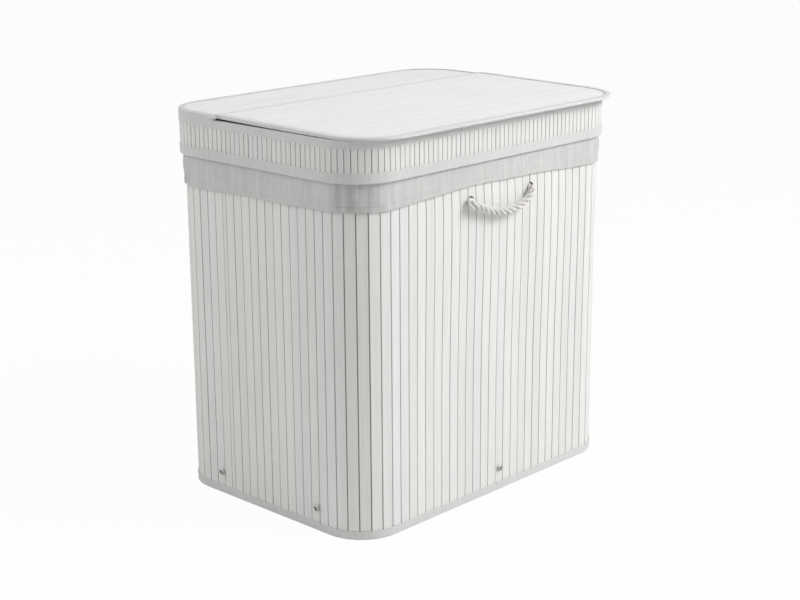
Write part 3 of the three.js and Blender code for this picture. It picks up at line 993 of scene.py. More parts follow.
@dataclass(frozen=True)
class ClothFinish(Finish):
    """A plain weave on a mapped piece, with slubs, a row of stitches at any hem, and painted shade in
    its valleys and gathers.
    """

    threads: float = 1150.0
    slub_depth: float = 0.16
    pale_share: float = 0.4
    dark_share: float = 0.6
    slub_relief: float = 0.5
    weave_painted_shade: float = 0.1
    weave_relief: float = 0.35
    mottle_depth: float = 0.06
    band_depth: float = 0.0
    band_runs: tuple[tuple[float, ...], ...] = ((75.0, 5.0, 1.0), (22.0, 150.0, 1.0))
    fleck_depth: float = 0.0
    fleck_run: Triple = (560.0, 820.0, 1.0)
    hem: float | None = None
    hem_painted_shade: float = 0.93
    hem_relief: float = 1.8
    stitch_run: float = 3.2
    stitch_width: float = 0.9
    stitch_relief: float = 1.6
    shaded_gathers: tuple[float, ...] = ()
    gather_reach: float = 46.0
    gather_painted_shade: float = 0.2
    gather_run: Triple = (95.0, 3.0, 1.0)

    def off_hem(self, graph: Graph, place: NodeSocket) -> NodeSocket:
        """How far from the hem's row of stitches a place is."""
        return graph.apart(graph.axes(place)[1], (self.hem or 0.0) * MM)

    def stitches(self, graph: Graph, place: NodeSocket) -> NodeSocket:
        """A mask of the hem's stitches.

        Args:
            graph: The material's graph.
            place: The piece's own map.

        Returns:
            The mask, 1 on the thread and 0 elsewhere.
        """
        inner, outer = 0.25 * self.stitch_width * MM, 0.5 * self.stitch_width * MM
        row = graph.ranged(self.off_hem(graph, place), low=inner, high=outer, bottom=1.0, top=0.0)
        along = graph.math("FRACT", graph.math("DIVIDE", graph.axes(place)[0], self.stitch_run * MM))
        dash = graph.ranged(graph.apart(along, 0.5), low=0.3, high=0.42, bottom=1.0, top=0.0)
        return graph.math("MULTIPLY", row, dash)

    def pressed(self, graph: Graph, place: NodeSocket) -> NodeSocket:
        """A mask of the shallow valley that the stitches pull into the cloth, which sinks the bump and
        darkens the colour as painted shade.
        """
        reach = 1.5 * self.stitch_width * MM
        return graph.ranged(self.off_hem(graph, place), low=0.0, high=reach, bottom=1.0, top=0.0)

    def bands(self, graph: Graph, place: NodeSocket) -> NodeSocket:
        """A value in soft upright bands and short level smudges, as uneven yarn leaves them."""
        upright, level = (graph.noise(graph.mapped(place, run)) for run in self.band_runs)
        return graph.blended(upright, level, share=0.7)

    def gather_shade_mask(self, graph: Graph, place: NodeSocket) -> NodeSocket:
        """A mask of the cloth's gathers, where its colour gets painted shade.

        Args:
            graph: The material's graph.
            place: The piece's own map.

        Returns:
            The mask, 1 in the middle of each gather and 0 away from them.
        """
        along = graph.axes(place)[0]
        inner, outer = 0.3 * self.gather_reach * MM, self.gather_reach * MM
        mask = 0.0
        for middle in self.shaded_gathers:
            off = graph.apart(along, middle * MM)
            mask = graph.math("MAXIMUM", mask, graph.ranged(off, inner, outer, bottom=1.0, top=0.0))
        return mask

    def material(self) -> Material:
        """Builds the material.

        Returns:
            The material.
        """
        material, graph, shader = self.start()
        place = self.cloth_place(graph)
        weave = self.effect(graph, self.effects.weave, {"Vector": place, "Threads": self.threads})
        thread = weave.outputs["Height"]
        slub = graph.ranged(weave.outputs["Slubs"], low=0.38, high=0.62)
        pale = scaled_colour(self.colour, 1.0 + self.pale_share * self.slub_depth)
        dark = scaled_colour(self.colour, 1.0 - self.dark_share * self.slub_depth)
        # Painted shade: the colour darkens where the threads sink under each other.
        sunk = graph.ranged(thread, low=0.0, high=0.6, bottom=1.0 - self.weave_painted_shade)
        colour = graph.shaded(graph.tinted(slub, pale, dark), sunk)
        colour = self.mottled(graph, colour, self.mottle_depth)
        if self.band_depth:
            bands = self.bands(graph, place)
            colour = graph.darkened(colour, bands, self.band_depth, low=0.38, high=0.62)
        # Painted shade: soft folds at the gathered corners are darkened where shade falls in them.
        gather_shade_mask = 1.0
        if self.shaded_gathers:
            gather_shade_mask = self.gather_shade_mask(graph, place)
            folds = graph.noise(graph.mapped(place, self.gather_run), detail=1.0)
            folds = graph.ranged(folds, low=0.36, high=0.6, bottom=0.25)
            colour = graph.darkened(colour, graph.math("MULTIPLY", folds, gather_shade_mask), self.gather_painted_shade)
        if self.fleck_depth:
            fleck = graph.noise(graph.mapped(place, self.fleck_run), detail=1.0)
            colour = graph.darkened(colour, fleck, self.fleck_depth, low=0.35, high=0.65)
        height = graph.math("ADD", thread, graph.math("MULTIPLY", slub, -self.slub_relief))
        if self.hem is not None:
            # Painted shade: the colour darkens in the stitched valley, on the gathered linen only at its
            # corners.
            valley = self.pressed(graph, place)
            seam = graph.math("MULTIPLY", valley, gather_shade_mask)
            shade = graph.ranged(seam, low=0.0, high=1.0, bottom=1.0, top=self.hem_painted_shade)
            colour = graph.shaded(colour, shade)
            raised = graph.math("MULTIPLY", self.stitches(graph, place), self.stitch_relief)
            height = graph.math("ADD", height, raised)
            height = graph.math("SUBTRACT", height, graph.math("MULTIPLY", valley, self.hem_relief))
        graph.feed(shader, {"Sheen Weight": 0.12, "Sheen Roughness": 0.6})
        self.dress(graph, shader, colour, height, bump=0.6, depth=self.weave_relief)
        return material


@dataclass(frozen=True)
class BackingFinish(Finish):
    """A felted backing cloth: short fibres that lie every way."""

    fibre: float = 700.0
    fibre_shade: float = 0.86
    mottle_depth: float = 0.08

    def material(self) -> Material:
        """Builds the material.

        Returns:
            The material.
        """
        material, graph, shader = self.start()
        place = graph.mapped(self.object_place(graph), (1.0, 1.0, 0.35))
        fibres = graph.noise(place, self.fibre, detail=3.0)
        dark = scaled_colour(self.colour, self.fibre_shade)
        colour = graph.tinted(graph.ranged(fibres, low=0.4, high=0.65), self.colour, dark)
        colour = self.mottled(graph, colour, self.mottle_depth)
        self.dress(graph, shader, colour, fibres, bump=0.5, depth=0.25)
        return material


@dataclass(frozen=True)
class RopeFinish(Finish):
    """Cotton yarns that run along the rope's strands, with painted shade where the strands meet."""

    yarn: float = 900.0
    yarn_shade: float = 0.8
    groove_painted_shade: float = 0.5
    mottle_depth: float = 0.06

    def material(self) -> Material:
        """Builds the material.

        Returns:
            The material.
        """
        material, graph, shader = self.start()
        yarns = graph.noise(graph.mapped(self.cloth_place(graph), (self.yarn, 55.0, 1.0)), detail=3.0)
        fuzz = graph.noise(self.object_place(graph), scale=1400.0)
        crown = graph.add("ShaderNodeAttribute", attribute_name="crown").outputs["Fac"]
        dark = scaled_colour(self.colour, self.yarn_shade)
        colour = graph.tinted(graph.ranged(yarns, low=0.38, high=0.66), self.colour, dark)
        # Painted shade: the colour darkens from the strands' crowns into the grooves between them.
        colour = graph.shaded(colour, graph.ranged(crown, low=0.0, high=0.75, bottom=self.groove_painted_shade))
        colour = self.mottled(graph, colour, self.mottle_depth)
        height = graph.math("ADD", yarns, graph.math("MULTIPLY", fuzz, 0.4))
        graph.feed(shader, {"Sheen Weight": 0.2, "Sheen Roughness": 0.5})
        self.dress(graph, shader, colour, height, bump=0.7, depth=0.4)
        return material


@dataclass(frozen=True)
class BareWoodFinish(Finish):
    """Unpainted pale wood with long grain."""

    grain: Grain = Grain.CROSSWISE
    fibre: float = 260.0
    fibre_run: float = 9.0
    board_shift: float = 0.3
    streak_shades: Triple = (0.74, 0.68, 0.6)
    pore_depth: float = 0.2
    mottle_depth: float = 0.12
    gloss_spread: float = 0.08

    def material(self) -> Material:
        """Builds the material.

        Returns:
            The material.
        """
        material, graph, shader = self.start()
        scale = self.grain.scale(self.fibre, self.fibre_run)
        streaks, clouds, pores = self.grain_lines(graph, scale, self.board_shift)
        dark = tuple(channel * shade for channel, shade in zip(self.colour, self.streak_shades))
        colour = graph.tinted(graph.ranged(streaks, low=0.38, high=0.68), self.colour, dark)
        colour = graph.darkened(colour, pores, self.pore_depth)
        colour = self.mottled(graph, colour, self.mottle_depth)
        smooth, rough = self.roughness - self.gloss_spread, self.roughness + self.gloss_spread
        gloss = graph.ranged(clouds, low=0.3, high=0.7, bottom=smooth, top=rough)
        graph.feed(shader, {"Roughness": gloss})
        self.dress(graph, shader, colour, streaks, bump=0.4, depth=0.25)
        return material


@dataclass(frozen=True)
class SteelFinish(Finish):
    """Nickel-plated steel, brushed by use."""

    scuff_run: Triple = (900.0, 900.0, 2400.0)
    scuff_shade: float = 0.7
    scuff_roughness: float = 0.2
    mottle_depth: float = 0.2

    def material(self) -> Material:
        """Builds the material.

        Returns:
            The material.
        """
        material, graph, shader = self.start()
        scuffs = graph.noise(graph.mapped(self.object_place(graph), self.scuff_run), detail=3.0)
        dark = scaled_colour(self.colour, self.scuff_shade)
        colour = graph.tinted(graph.ranged(scuffs, low=0.35, high=0.7), self.colour, dark)
        colour = self.mottled(graph, colour, self.mottle_depth)
        scuffed = self.roughness + self.scuff_roughness
        rough = graph.ranged(scuffs, low=0.3, high=0.7, bottom=self.roughness, top=scuffed)
        graph.feed(shader, {"Roughness": rough, "Metallic": 1.0})
        self.dress(graph, shader, colour, scuffs, bump=0.2, depth=0.05)
        return material


class Finishes:
    """The hamper's materials, each built once."""

    def __init__(self) -> None:
        """Builds the shared effects and every material."""
        effects = EffectLibrary()
        starts = LAYOUT.body.starts
        # The middles of the cuff's corners, where its gathers get painted shade.
        corner_middles = tuple(0.5 * (starts[i] + starts[i + 1]) for i in (1, 3, 5, 7))
        paint = (0.868, 0.866, 0.846)
        strip_paint = (0.835, 0.835, 0.812)
        top_paint = (0.856, 0.856, 0.85)
        tape = (0.818, 0.818, 0.81)
        # Painted light: the flap's tape is a lighter copy of the binding tape, because it faces up
        # towards the light.
        flap_tape_painted_light = (0.88, 0.88, 0.872)
        linen = (0.775, 0.775, 0.76)
        tape_weave = {"threads": 640.0, "slub_depth": 0.06, "weave_painted_shade": 0.2, "fleck_depth": 0.16}
        self.boards = PaintedBoardFinish(effects, "painted_boards", paint, 0.5).material()
        strips = PaintedBoardFinish(effects, "painted_strips", strip_paint, 0.5, fibre=900.0)
        self.strips = strips.material()
        self.top_strips = PaintedBoardFinish(
            effects,
            "painted_top_strips",
            top_paint,
            0.48,
            grain=Grain.CROSSWISE,
            fibre=700.0,
            board_tone=0.985,
            hue_depth=0.3,
        ).material()
        self.tape = ClothFinish(effects, "binding_tape", tape, 0.9, **tape_weave).material()
        # The flap's tape: sewn, with painted light in its lighter colour and painted shade in its
        # stitched valley.
        self.sewn_tape_painted_light = ClothFinish(
            effects, "binding_tape_sewn_painted_light", flap_tape_painted_light, 0.9, hem=21.9, hem_painted_shade=0.72, **tape_weave
        ).material()
        self.linen = ClothFinish(
            effects, "liner_linen", linen, 0.95, weave_painted_shade=0.06, band_depth=0.05
        ).material()
        self.hemmed_linen = ClothFinish(
            effects,
            "liner_linen_hemmed",
            linen,
            0.95,
            slub_depth=0.12,
            weave_painted_shade=0.05,
            band_depth=0.1,
            fleck_depth=0.08,
            hem=8.0,
            hem_painted_shade=0.8,
            shaded_gathers=corner_middles,
        ).material()
        self.backing = BackingFinish(effects, "backing_cloth", (0.33, 0.33, 0.32), 0.95).material()
        self.lining = BackingFinish(effects, "lining_cloth", (0.5, 0.5, 0.485), 0.95).material()
        self.rope = RopeFinish(effects, "cotton_rope", (0.87, 0.85, 0.81), 0.95).material()
        self.wood = BareWoodFinish(effects, "bare_wood", (0.68, 0.52, 0.32), 0.62).material()
        grey = (0.5, 0.48, 0.44)
        rails = BareWoodFinish(effects, "bare_wood_rails", grey, 0.62, grain=Grain.UPRIGHT)
        self.cross_wood = rails.material()
        self.steel = SteelFinish(effects, "screw_steel", (0.58, 0.575, 0.56), 0.3).material()


@dataclass(frozen=True)
class BoardBlank:
    """One upright board lying along +X with its face at y = 0 towards -Y, to be copied round a wall."""

    width: float
    thickness: float
    low: float
    high: float
    edge: float
    levels: tuple[float, ...] = ()

    def model(self) -> Object:
        """Models the board.

        Returns:
            The board's object.
        """
        deselect_all()
        bpy.ops.mesh.primitive_cube_add(size=MM, location=(0.0, 0.0, 0.0))
        board = bpy.context.object
        start_edit(board, Pick.EDGES)
        pick_all()
        bpy.ops.transform.resize(value=(self.width, self.thickness, self.high - self.low))
        middle = (0.0, 0.5 * self.thickness * MM, 0.5 * (self.high + self.low) * MM)
        bpy.ops.transform.translate(value=middle)
        middle_y = 0.5 * self.thickness
        pick(board, Pick.EDGES, lambda centre, along: abs(along.z) > ALIGNED and centre.y < middle_y)
        bpy.ops.mesh.bevel(offset=self.edge * MM, segments=2)
        for level in self.levels:
            pick_all()
            bpy.ops.mesh.bisect(plane_co=(0.0, 0.0, level * MM), plane_no=(0.0, 0.0, 1.0))
        end_edit()
        return board


@dataclass
class BoardRun:
    """Boards side by side along part of the wall's outline."""

    edges: Sequence[float]
    face: float
    gap: float
    blank: BoardBlank
    chance: random.Random
    lean: float = 0.12
    turn: float = 0.35
    gap_spread: float = 0.22

    def half_gap(self) -> float:
        """Half of a gap, which is a little wider or narrower each time."""
        return 0.5 * self.gap * (1.0 + self.chance.uniform(-1.0, 1.0) * self.gap_spread)

    def model(self) -> Object:
        """Copies the blank along the run, each copy with its own mesh, tone and slight turn.

        Returns:
            The joined boards.
        """
        pattern = self.blank.model()
        boards = []
        for start, end in zip(self.edges, self.edges[1:]):
            first, _ = LAYOUT.body.at(start + self.half_gap(), self.face)
            last, _ = LAYOUT.body.at(end - self.half_gap(), self.face)
            ahead = last - first
            heading = math.atan2(ahead.y, ahead.x)
            heading += math.radians(self.chance.uniform(-self.turn, self.turn))
            outward = Vector((math.sin(heading), -math.cos(heading)))
            middle = (first + last) * 0.5 + outward * self.chance.uniform(-self.lean, self.lean)
            mesh = pattern.data.copy()
            mesh.transform(
                Matrix.Translation((middle.x * MM, middle.y * MM, 0.0))
                @ Matrix.Rotation(heading, 4, "Z")
                @ Matrix.Scale(ahead.length / self.blank.width, 4, (1.0, 0.0, 0.0))
            )
            toned(mesh, self.chance.random())
            boards.append(new_object("board", mesh))
        discard(pattern)
        run = joined(boards)
        smooth_edges(run, Smoothing.STRIP)
        return run


def cut_holes(obj: Object, centres: Iterable[Vector], radius: float, depth: float) -> None:
    """Cuts round holes along Y through an object.

    Args:
        obj: The object to cut.
        centres: The holes' centres.
        radius: The holes' radius.
        depth: How far each cutter reaches to either side.
    """
    for centre in centres:
        deselect_all()
        bpy.ops.mesh.primitive_cylinder_add(
            vertices=28, radius=radius * MM, depth=2.0 * depth * MM, rotation=(QUARTER_TURN, 0.0, 0.0)
        )
        cutter = bpy.context.object
        bpy.ops.object.transform_apply(location=False, rotation=True, scale=False)
        cutter.data.transform(Matrix.Translation(centre * MM))
        apply_modifier(obj, "BOOLEAN", object=cutter, operation="DIFFERENCE", solver="EXACT")
        discard(cutter)


@dataclass
class Assembly:
    """A sub-assembly, which its build method models and dresses."""

    finishes: Finishes


@dataclass
class WallBody(Assembly):
    """The standing part: boards on their backing cloth, tapes, base and screws."""

    board_thickness: float = 2.0
    board_gap: float = 1.4
    side_gap: float = 1.5
    corner_gap: float = 1.9
    board_edge: float = 0.45
    board_low: float = 0.8
    joint_gap: float = 0.5
    joint_lift: float = 0.15
    hole_radius: float = 7.2
    hole_depth: float = 12.0
    tape_thickness: float = 0.5
    tape_face: float = 0.8
    tape_rounding: float = 0.9
    bottom_tape_height: float = 13.3
    bottom_tape_inner: float = -4.5
    top_tape_height: float = 17.0
    top_tape_inner: float = -9.8
    lap_thickness: float = 0.45
    lap_face: float = 1.25
    lap_length: float = 14.0
    backing_offset: float = -2.2
    backing_thickness: float = 0.6
    bow_levels: tuple[float, ...] = (190.0, 240.0, 290.0, 340.0, 390.0, 440.0, 470.0, 500.0, 530.0)
    chance: random.Random = field(default_factory=lambda: random.Random(11))

    @property
    def lap_x(self) -> float:
        """Where on the front wall the bottom tape's end laps over."""
        return 0.6 * LAYOUT.middle_board_x

    def edges(self) -> dict[str, list[float]]:
        """Finds where one board ends and the next begins.

        Returns:
            The boards' edges along the outline, by run.
        """
        sizes, body = LAYOUT, LAYOUT.body
        side_x = sizes.half_width - sizes.corner_radius
        side_y = sizes.half_depth - sizes.corner_radius
        count = math.floor((side_x + sizes.middle_board_x) / sizes.wide_pitch - 0.5)
        first_x = sizes.middle_board_x - (count + 0.5) * sizes.wide_pitch
        front = stepped(first_x, side_x, sizes.wide_pitch)
        left_front = stepped(sizes.joint_y, -side_y, sizes.narrow_pitch)
        left_rear = stepped(sizes.joint_y + sizes.joint_width, side_y, sizes.narrow_pitch)[::-1]
        right = stepped(-left_front[-1], -side_y, sizes.narrow_pitch)[::-1]
        runs = {
            "left_rear": [body.on_left(y) for y in left_rear],
            "left_front": [body.on_left(y) for y in left_front],
            "front": [body.on_front(x) for x in front],
            "right": [body.on_right(y) for y in right],
            "back": [body.on_back(-x) for x in front],
        }
        corners = {
            "front_left_corner": (runs["left_front"][-1], runs["front"][0]),
            "front_right_corner": (runs["front"][-1], runs["right"][0]),
            "back_right_corner": (runs["right"][-1], runs["back"][0]),
            "back_left_corner": (runs["back"][-1], body.length + runs["left_rear"][0]),
        }
        for name, ends in corners.items():
            runs[name] = divided(*ends, sizes.corner_pitch)
        return runs

    def rope_holes(self, wall: Wall) -> list[Vector]:
        """Finds one wall's two rope holes.

        Args:
            wall: The wall.

        Returns:
            The holes' middles, in order along +X.
        """
        middle = -wall.value * LAYOUT.handle_x
        y = wall.value * LAYOUT.half_depth
        half = 0.5 * LAYOUT.handle_span
        return [Vector((middle + side * half, y, LAYOUT.handle_z)) for side in (-1, 1)]

    def boards(self) -> None:
        """Builds the wall's boards, with the rope holes cut through them."""
        sizes = self.board_thickness, self.board_low, LAYOUT.wall_top, self.board_edge
        runs = self.edges()
        for name, edges in runs.items():
            wide, corner = name in ("front", "back"), "corner" in name
            width = LAYOUT.wide_pitch if wide else LAYOUT.narrow_pitch
            gap = self.corner_gap if corner else self.board_gap if wide else self.side_gap
            blank = BoardBlank(width - gap, *sizes, self.bow_levels if wide or corner else ())
            run = BoardRun(edges, 0.0, gap, blank, self.chance).model()
            if wide or corner:
                moved(run, LAYOUT.bowed)
            if wide:
                cut_holes(run, self.rope_holes(Wall[name.upper()]), self.hole_radius, self.hole_depth)
            piece = Piece(f"{name}_wall_boards", "base", Slot.BOARDS, (f"wall_boards_{name}",))
            piece.finish(run, self.finishes.boards)
        joint = [runs["left_rear"][-1], runs["left_front"][0]]
        blank = BoardBlank(LAYOUT.joint_width - self.joint_gap, *sizes)
        board = BoardRun(joint, self.joint_lift, self.joint_gap, blank, self.chance).model()
        piece = Piece("joint_board", "base", Slot.BOARDS, ("wall_joint_board",))
        piece.finish(board, self.finishes.boards)

    def backing(self) -> None:
        """Builds the cloth that the boards are glued to."""
        body = LAYOUT.body
        levels = [self.board_low, *self.bow_levels, LAYOUT.wall_top]

        def place(distance: float, row: int) -> Vector:
            """A point of the backing cloth.

            Args:
                distance: How far along the outline it is.
                row: The number of its level.

            Returns:
                The point.
            """
            point, _ = body.at(distance, self.backing_offset)
            return LAYOUT.bowed(Vector((point.x, point.y, levels[row])))

        marks = body.marks(0.0, body.length, straight_step=20.0, corner_step=8.0)
        cloth = wrapped_sheet(marks, levels, place, self.backing_thickness, closed=True)
        for wall in Wall:
            cut_holes(cloth, self.rope_holes(wall), self.hole_radius, self.hole_depth)
        piece = Piece("wall_backing", "base", Slot.BACKING, ("wall_backing_cloth",))
        piece.finish(cloth, self.finishes.backing)

    def tapes(self) -> None:
        """Builds the tapes that bind the wall's lower and upper edge."""
        face, inner, high = self.tape_face, self.bottom_tape_inner, self.bottom_tape_height
        bottom_fold = [(inner, high), (inner, 0.0), (face, 0.0), (face, high)]
        inner, top = self.top_tape_inner, LAYOUT.wall_top + self.tape_face
        leg = top - self.top_tape_height
        top_fold = [(face, leg), (face, top), (inner, top), (inner, leg)]
        seam = LAYOUT.body.on_front(self.lap_x - 0.5)
        for name, fold, wave in (("bottom", bottom_fold, 0.35), ("top", top_fold, 0.2)):
            folded = FoldedTape(fold, self.tape_thickness, self.tape_rounding, wave)
            tape = folded.model(LAYOUT.body, seam)
            piece = Piece(f"{name}_tape", "base", Slot.TAPE, (f"wall_{name}_tape",))
            piece.finish(tape, self.finishes.tape)

    def tape_lap(self) -> None:
        """Builds the short lap where the bottom tape's end covers its beginning."""
        start, low = LAYOUT.body.on_front(self.lap_x), -0.05
        fold = [(-0.4, low), (self.lap_face, low), (self.lap_face, self.bottom_tape_height + 0.2)]
        folded = FoldedTape(fold, self.lap_thickness, self.tape_rounding, 0.2)
        lap = folded.model(LAYOUT.body, start, start + self.lap_length)
        Piece("bottom_tape_lap", "base", Slot.TAPE, ()).finish(lap, self.finishes.tape)

    def screws(self) -> None:
        """Builds the six screws, modelled once and turned to each place."""
        pattern = ScrewBlank().model()
        x, y = LAYOUT.half_width, LAYOUT.half_depth
        middle, side, shift = LAYOUT.middle_board_x, LAYOUT.side_screw_y, LAYOUT.left_screw_shift
        places = {
            "front": (middle, -y, 0.0),
            "back": (-middle, y, math.pi),
            "left_front": (-x, -side - shift, -QUARTER_TURN),
            "left_rear": (-x, side - shift, -QUARTER_TURN),
            "right_front": (x, -side, QUARTER_TURN),
            "right_rear": (x, side, QUARTER_TURN),
        }
        for name, (at_x, at_y, heading) in places.items():
            mesh = pattern.data.copy()
            turn = self.chance.uniform(0.0, QUARTER_TURN)
            mesh.transform(
                Matrix.Translation((at_x * MM, at_y * MM, LAYOUT.screw_z * MM))
                @ Matrix.Rotation(heading, 4, "Z")
                @ Matrix.Rotation(turn, 4, "Y")
            )
            piece = Piece(f"screw_{name}", "base", Slot.STEEL, (f"base_screw_{name}",))
            piece.finish(new_object(name, mesh), self.finishes.steel)
        discard(pattern)

    def build(self) -> None:
        """Builds the whole standing part."""
        self.boards()
        self.backing()
        self.tapes()
        self.tape_lap()
        self.screws()


@dataclass(frozen=True)
class FoldedTape:
    """A woven tape folded over an edge; its fold gives offsets and heights over the outer face."""

    fold: Sequence[tuple[float, float]]
    thickness: float
    rounding: float
    wave: float
    ripples: float = 9.0

    def model(self, outline: RoundedOutline, start: float, end: float | None = None) -> Object:
        """Lays the tape along an outline.

        Args:
            outline: What the tape follows.
            start: Where it begins.
            end: Where it ends, or None where it goes all round.

        Returns:
            The tape's object.
        """
        path = subdivided(rounded_path(self.fold, self.rounding), step=6.0)
        last = start + outline.length if end is None else end
        marks = outline.marks(start, last, straight_step=14.0, corner_step=5.0)
        rows = len(path) - 1

        def place(distance: float, row: int) -> Vector:
            """A point of the tape's outer face, wavy along its free edges.

            Args:
                distance: How far along the outline it is.
                row: Its place in the fold's path.

            Returns:
                The point.
            """
            loose = max(0.0, 1.0 - min(row, rows - row) / 2.0)
            around = Vector((*outline.way_round(distance, self.ripples), 0.3 * row))
            ripple = self.wave * (0.3 + loose) * noise.noise(around)
            point, _ = outline.at(distance, path[row].x + max(0.0, 0.5 * ripple))
            return Vector((point.x, point.y, path[row].y + loose * ripple))

        return wrapped_sheet(marks, running_lengths(path), place, self.thickness, closed=end is None)


@dataclass(frozen=True)
class ScrewBlank:
    """A dome-headed screw with a cross recess, its head towards -Y."""

    head_radius: float = 5.25
    head_height: float = 2.5
    dome: float = 0.8
    rim: float = 0.2
    head_seat: float = 0.3
    shank_radius: float = 2.0
    length: float = 24.0
    recess_width: float = 1.7
    recess_reach: float = 3.0
    recess_depth: float = 1.7

    def head(self) -> Object:
        """Models the domed head with its recess.

        Returns:
            The head's object, facing +Z.
        """
        deselect_all()
        bpy.ops.mesh.primitive_uv_sphere_add(segments=32, ring_count=16, radius=self.head_radius * MM)
        head = bpy.context.object
        start_edit(head, Pick.FACES)
        pick_all()
        bpy.ops.mesh.bisect(plane_co=(0, 0, 0), plane_no=(0, 0, 1), clear_inner=True, use_fill=True)
        pick_all()
        bpy.ops.transform.resize(value=(1.0, 1.0, self.dome * self.head_height / self.head_radius))
        pick(head, Pick.FACES, lambda centre, normal: normal.z < -ALIGNED)
        down = {"value": (0.0, 0.0, -self.rim * self.head_height * MM)}
        bpy.ops.mesh.extrude_region_move(TRANSFORM_OT_translate=down)
        end_edit()
        for turn in (0.0, QUARTER_TURN):
            deselect_all()
            bpy.ops.mesh.primitive_cube_add(size=MM, rotation=(0.0, 0.0, turn))
            cutter = bpy.context.object
            cutter.scale = (2.0 * self.recess_reach, self.recess_width, 2.0 * self.recess_depth)
            bpy.ops.object.transform_apply(location=False, rotation=True, scale=True)
            cutter.data.transform(Matrix.Translation((0.0, 0.0, self.dome * self.head_height * MM)))
            apply_modifier(head, "BOOLEAN", object=cutter, operation="DIFFERENCE", solver="EXACT")
            discard(cutter)
        return head

    def model(self) -> Object:
        """Models the whole screw.

        Returns:
            The screw's object.
        """
        head = self.head()
        deselect_all()
        radius, depth = self.shank_radius * MM, self.length * MM
        bpy.ops.mesh.primitive_cylinder_add(vertices=20, radius=radius, depth=depth)
        shank = bpy.context.object
        shank.data.transform(Matrix.Translation((0.0, 0.0, -0.5 * self.length * MM)))
        start_edit(shank, Pick.FACES)
        pick(shank, Pick.FACES, lambda centre, normal: normal.z < -ALIGNED)
        bpy.ops.mesh.inset(thickness=0.8 * self.shank_radius * MM)
        bpy.ops.transform.translate(value=(0.0, 0.0, -self.shank_radius * MM))
        end_edit()
        screw = joined([head, shank])
        lift = Matrix.Translation((0.0, 0.0, (self.rim * self.head_height + self.head_seat) * MM))
        screw.data.transform(Matrix.Rotation(QUARTER_TURN, 4, "X") @ lift)
        smooth_edges(screw, Smoothing.SCREW)
        return screw


@dataclass(frozen=True)
class TwistedRope:
    """Three strands laid together and swept along a route; the radius is to their crowns."""

    radius: float = 6.4
    lay: float = 37.5
    strands: int = 3
    strand_share: float = 0.464
    sides: int = 30
    step: float = 1.4
    tip_area: float = 0.0025

    def lobe(self, angle: float) -> float:
        """Finds how far out the rope's skin is.

        Args:
            angle: The angle from a strand's crown.

        Returns:
            The distance from the rope's middle.
        """
        strand = self.radius * self.strand_share
        centre = self.radius - strand
        sector = FULL_TURN / self.strands
        off = (angle + 0.5 * sector) % sector - 0.5 * sector
        return centre * math.cos(off) + math.sqrt(max(0.0, strand**2 - (centre * math.sin(off)) ** 2))

    def model(self, points: Sequence[Vector], phase: float) -> tuple[Object, list[Vector]]:
        """Sweeps the rope, with both ends rounded off.

        Args:
            points: Points of the route.
            phase: The strands' angle at the start.

        Returns:
            The rope's object and its centreline.
        """
        route = smooth_route(points, self.step)
        lengths = running_lengths(route)
        side = (route[1] - route[0]).normalized().orthogonal().normalized()
        frames = []
        for i, point in enumerate(route):
            tangent = (route[min(i + 1, len(route) - 1)] - route[max(i - 1, 0)]).normalized()
            side = (side - tangent * side.dot(tangent)).normalized()
            frames.append((point, side, tangent.cross(side)))
        angles = [FULL_TURN * i / self.sides for i in range(self.sides + 1)]

        def place(mark: float, row: int) -> Vector:
            """A point of the rope's skin.

            Args:
                mark: How far round the rope it is.
                row: Its place in the route.

            Returns:
                The point.
            """
            point, across, over = frames[row]
            angle = mark / self.radius
            reach = self.lobe(angle - phase - FULL_TURN * lengths[row] / self.lay)
            for near in (lengths[row], lengths[-1] - lengths[row]):
                if near < self.radius:
                    reach *= math.sqrt(max(self.tip_area, 1.0 - (1.0 - near / self.radius) ** 2))
            return point + across * (reach * math.cos(angle)) + over * (reach * math.sin(angle))

        rope = wrapped_sheet([a * self.radius for a in angles], lengths, place, 0.0, closed=True)
        self._close_ends(rope)
        self._mark_crowns(rope, route)
        return rope, route

    @staticmethod
    def _close_ends(rope: Object) -> None:
        """Closes the two ends and turns all faces outwards.

        Args:
            rope: The rope's object.
        """
        start_edit(rope, Pick.EDGES)
        bpy.ops.mesh.select_non_manifold()
        bpy.ops.mesh.fill()
        end_edit()
        face_outwards(rope)

    def _mark_crowns(self, rope: Object, route: Sequence[Vector]) -> None:
        """Stores how near each vertex is to the crown of its strand.

        Args:
            rope: The rope's object.
            route: Its centreline.
        """
        valley = self.lobe(math.pi / self.strands) / self.radius
        values = []
        for vertex in rope.data.vertices:
            point = vertex.co / MM
            nearest = min(route, key=lambda middle: (middle - point).length_squared)
            height = min(1.0, (point - nearest).length / self.radius)
            values.append(max(0.0, (height - valley) / (1.0 - valley)))
        rope.data.attributes.new("crown", "FLOAT", "POINT").data.foreach_set("value", values)


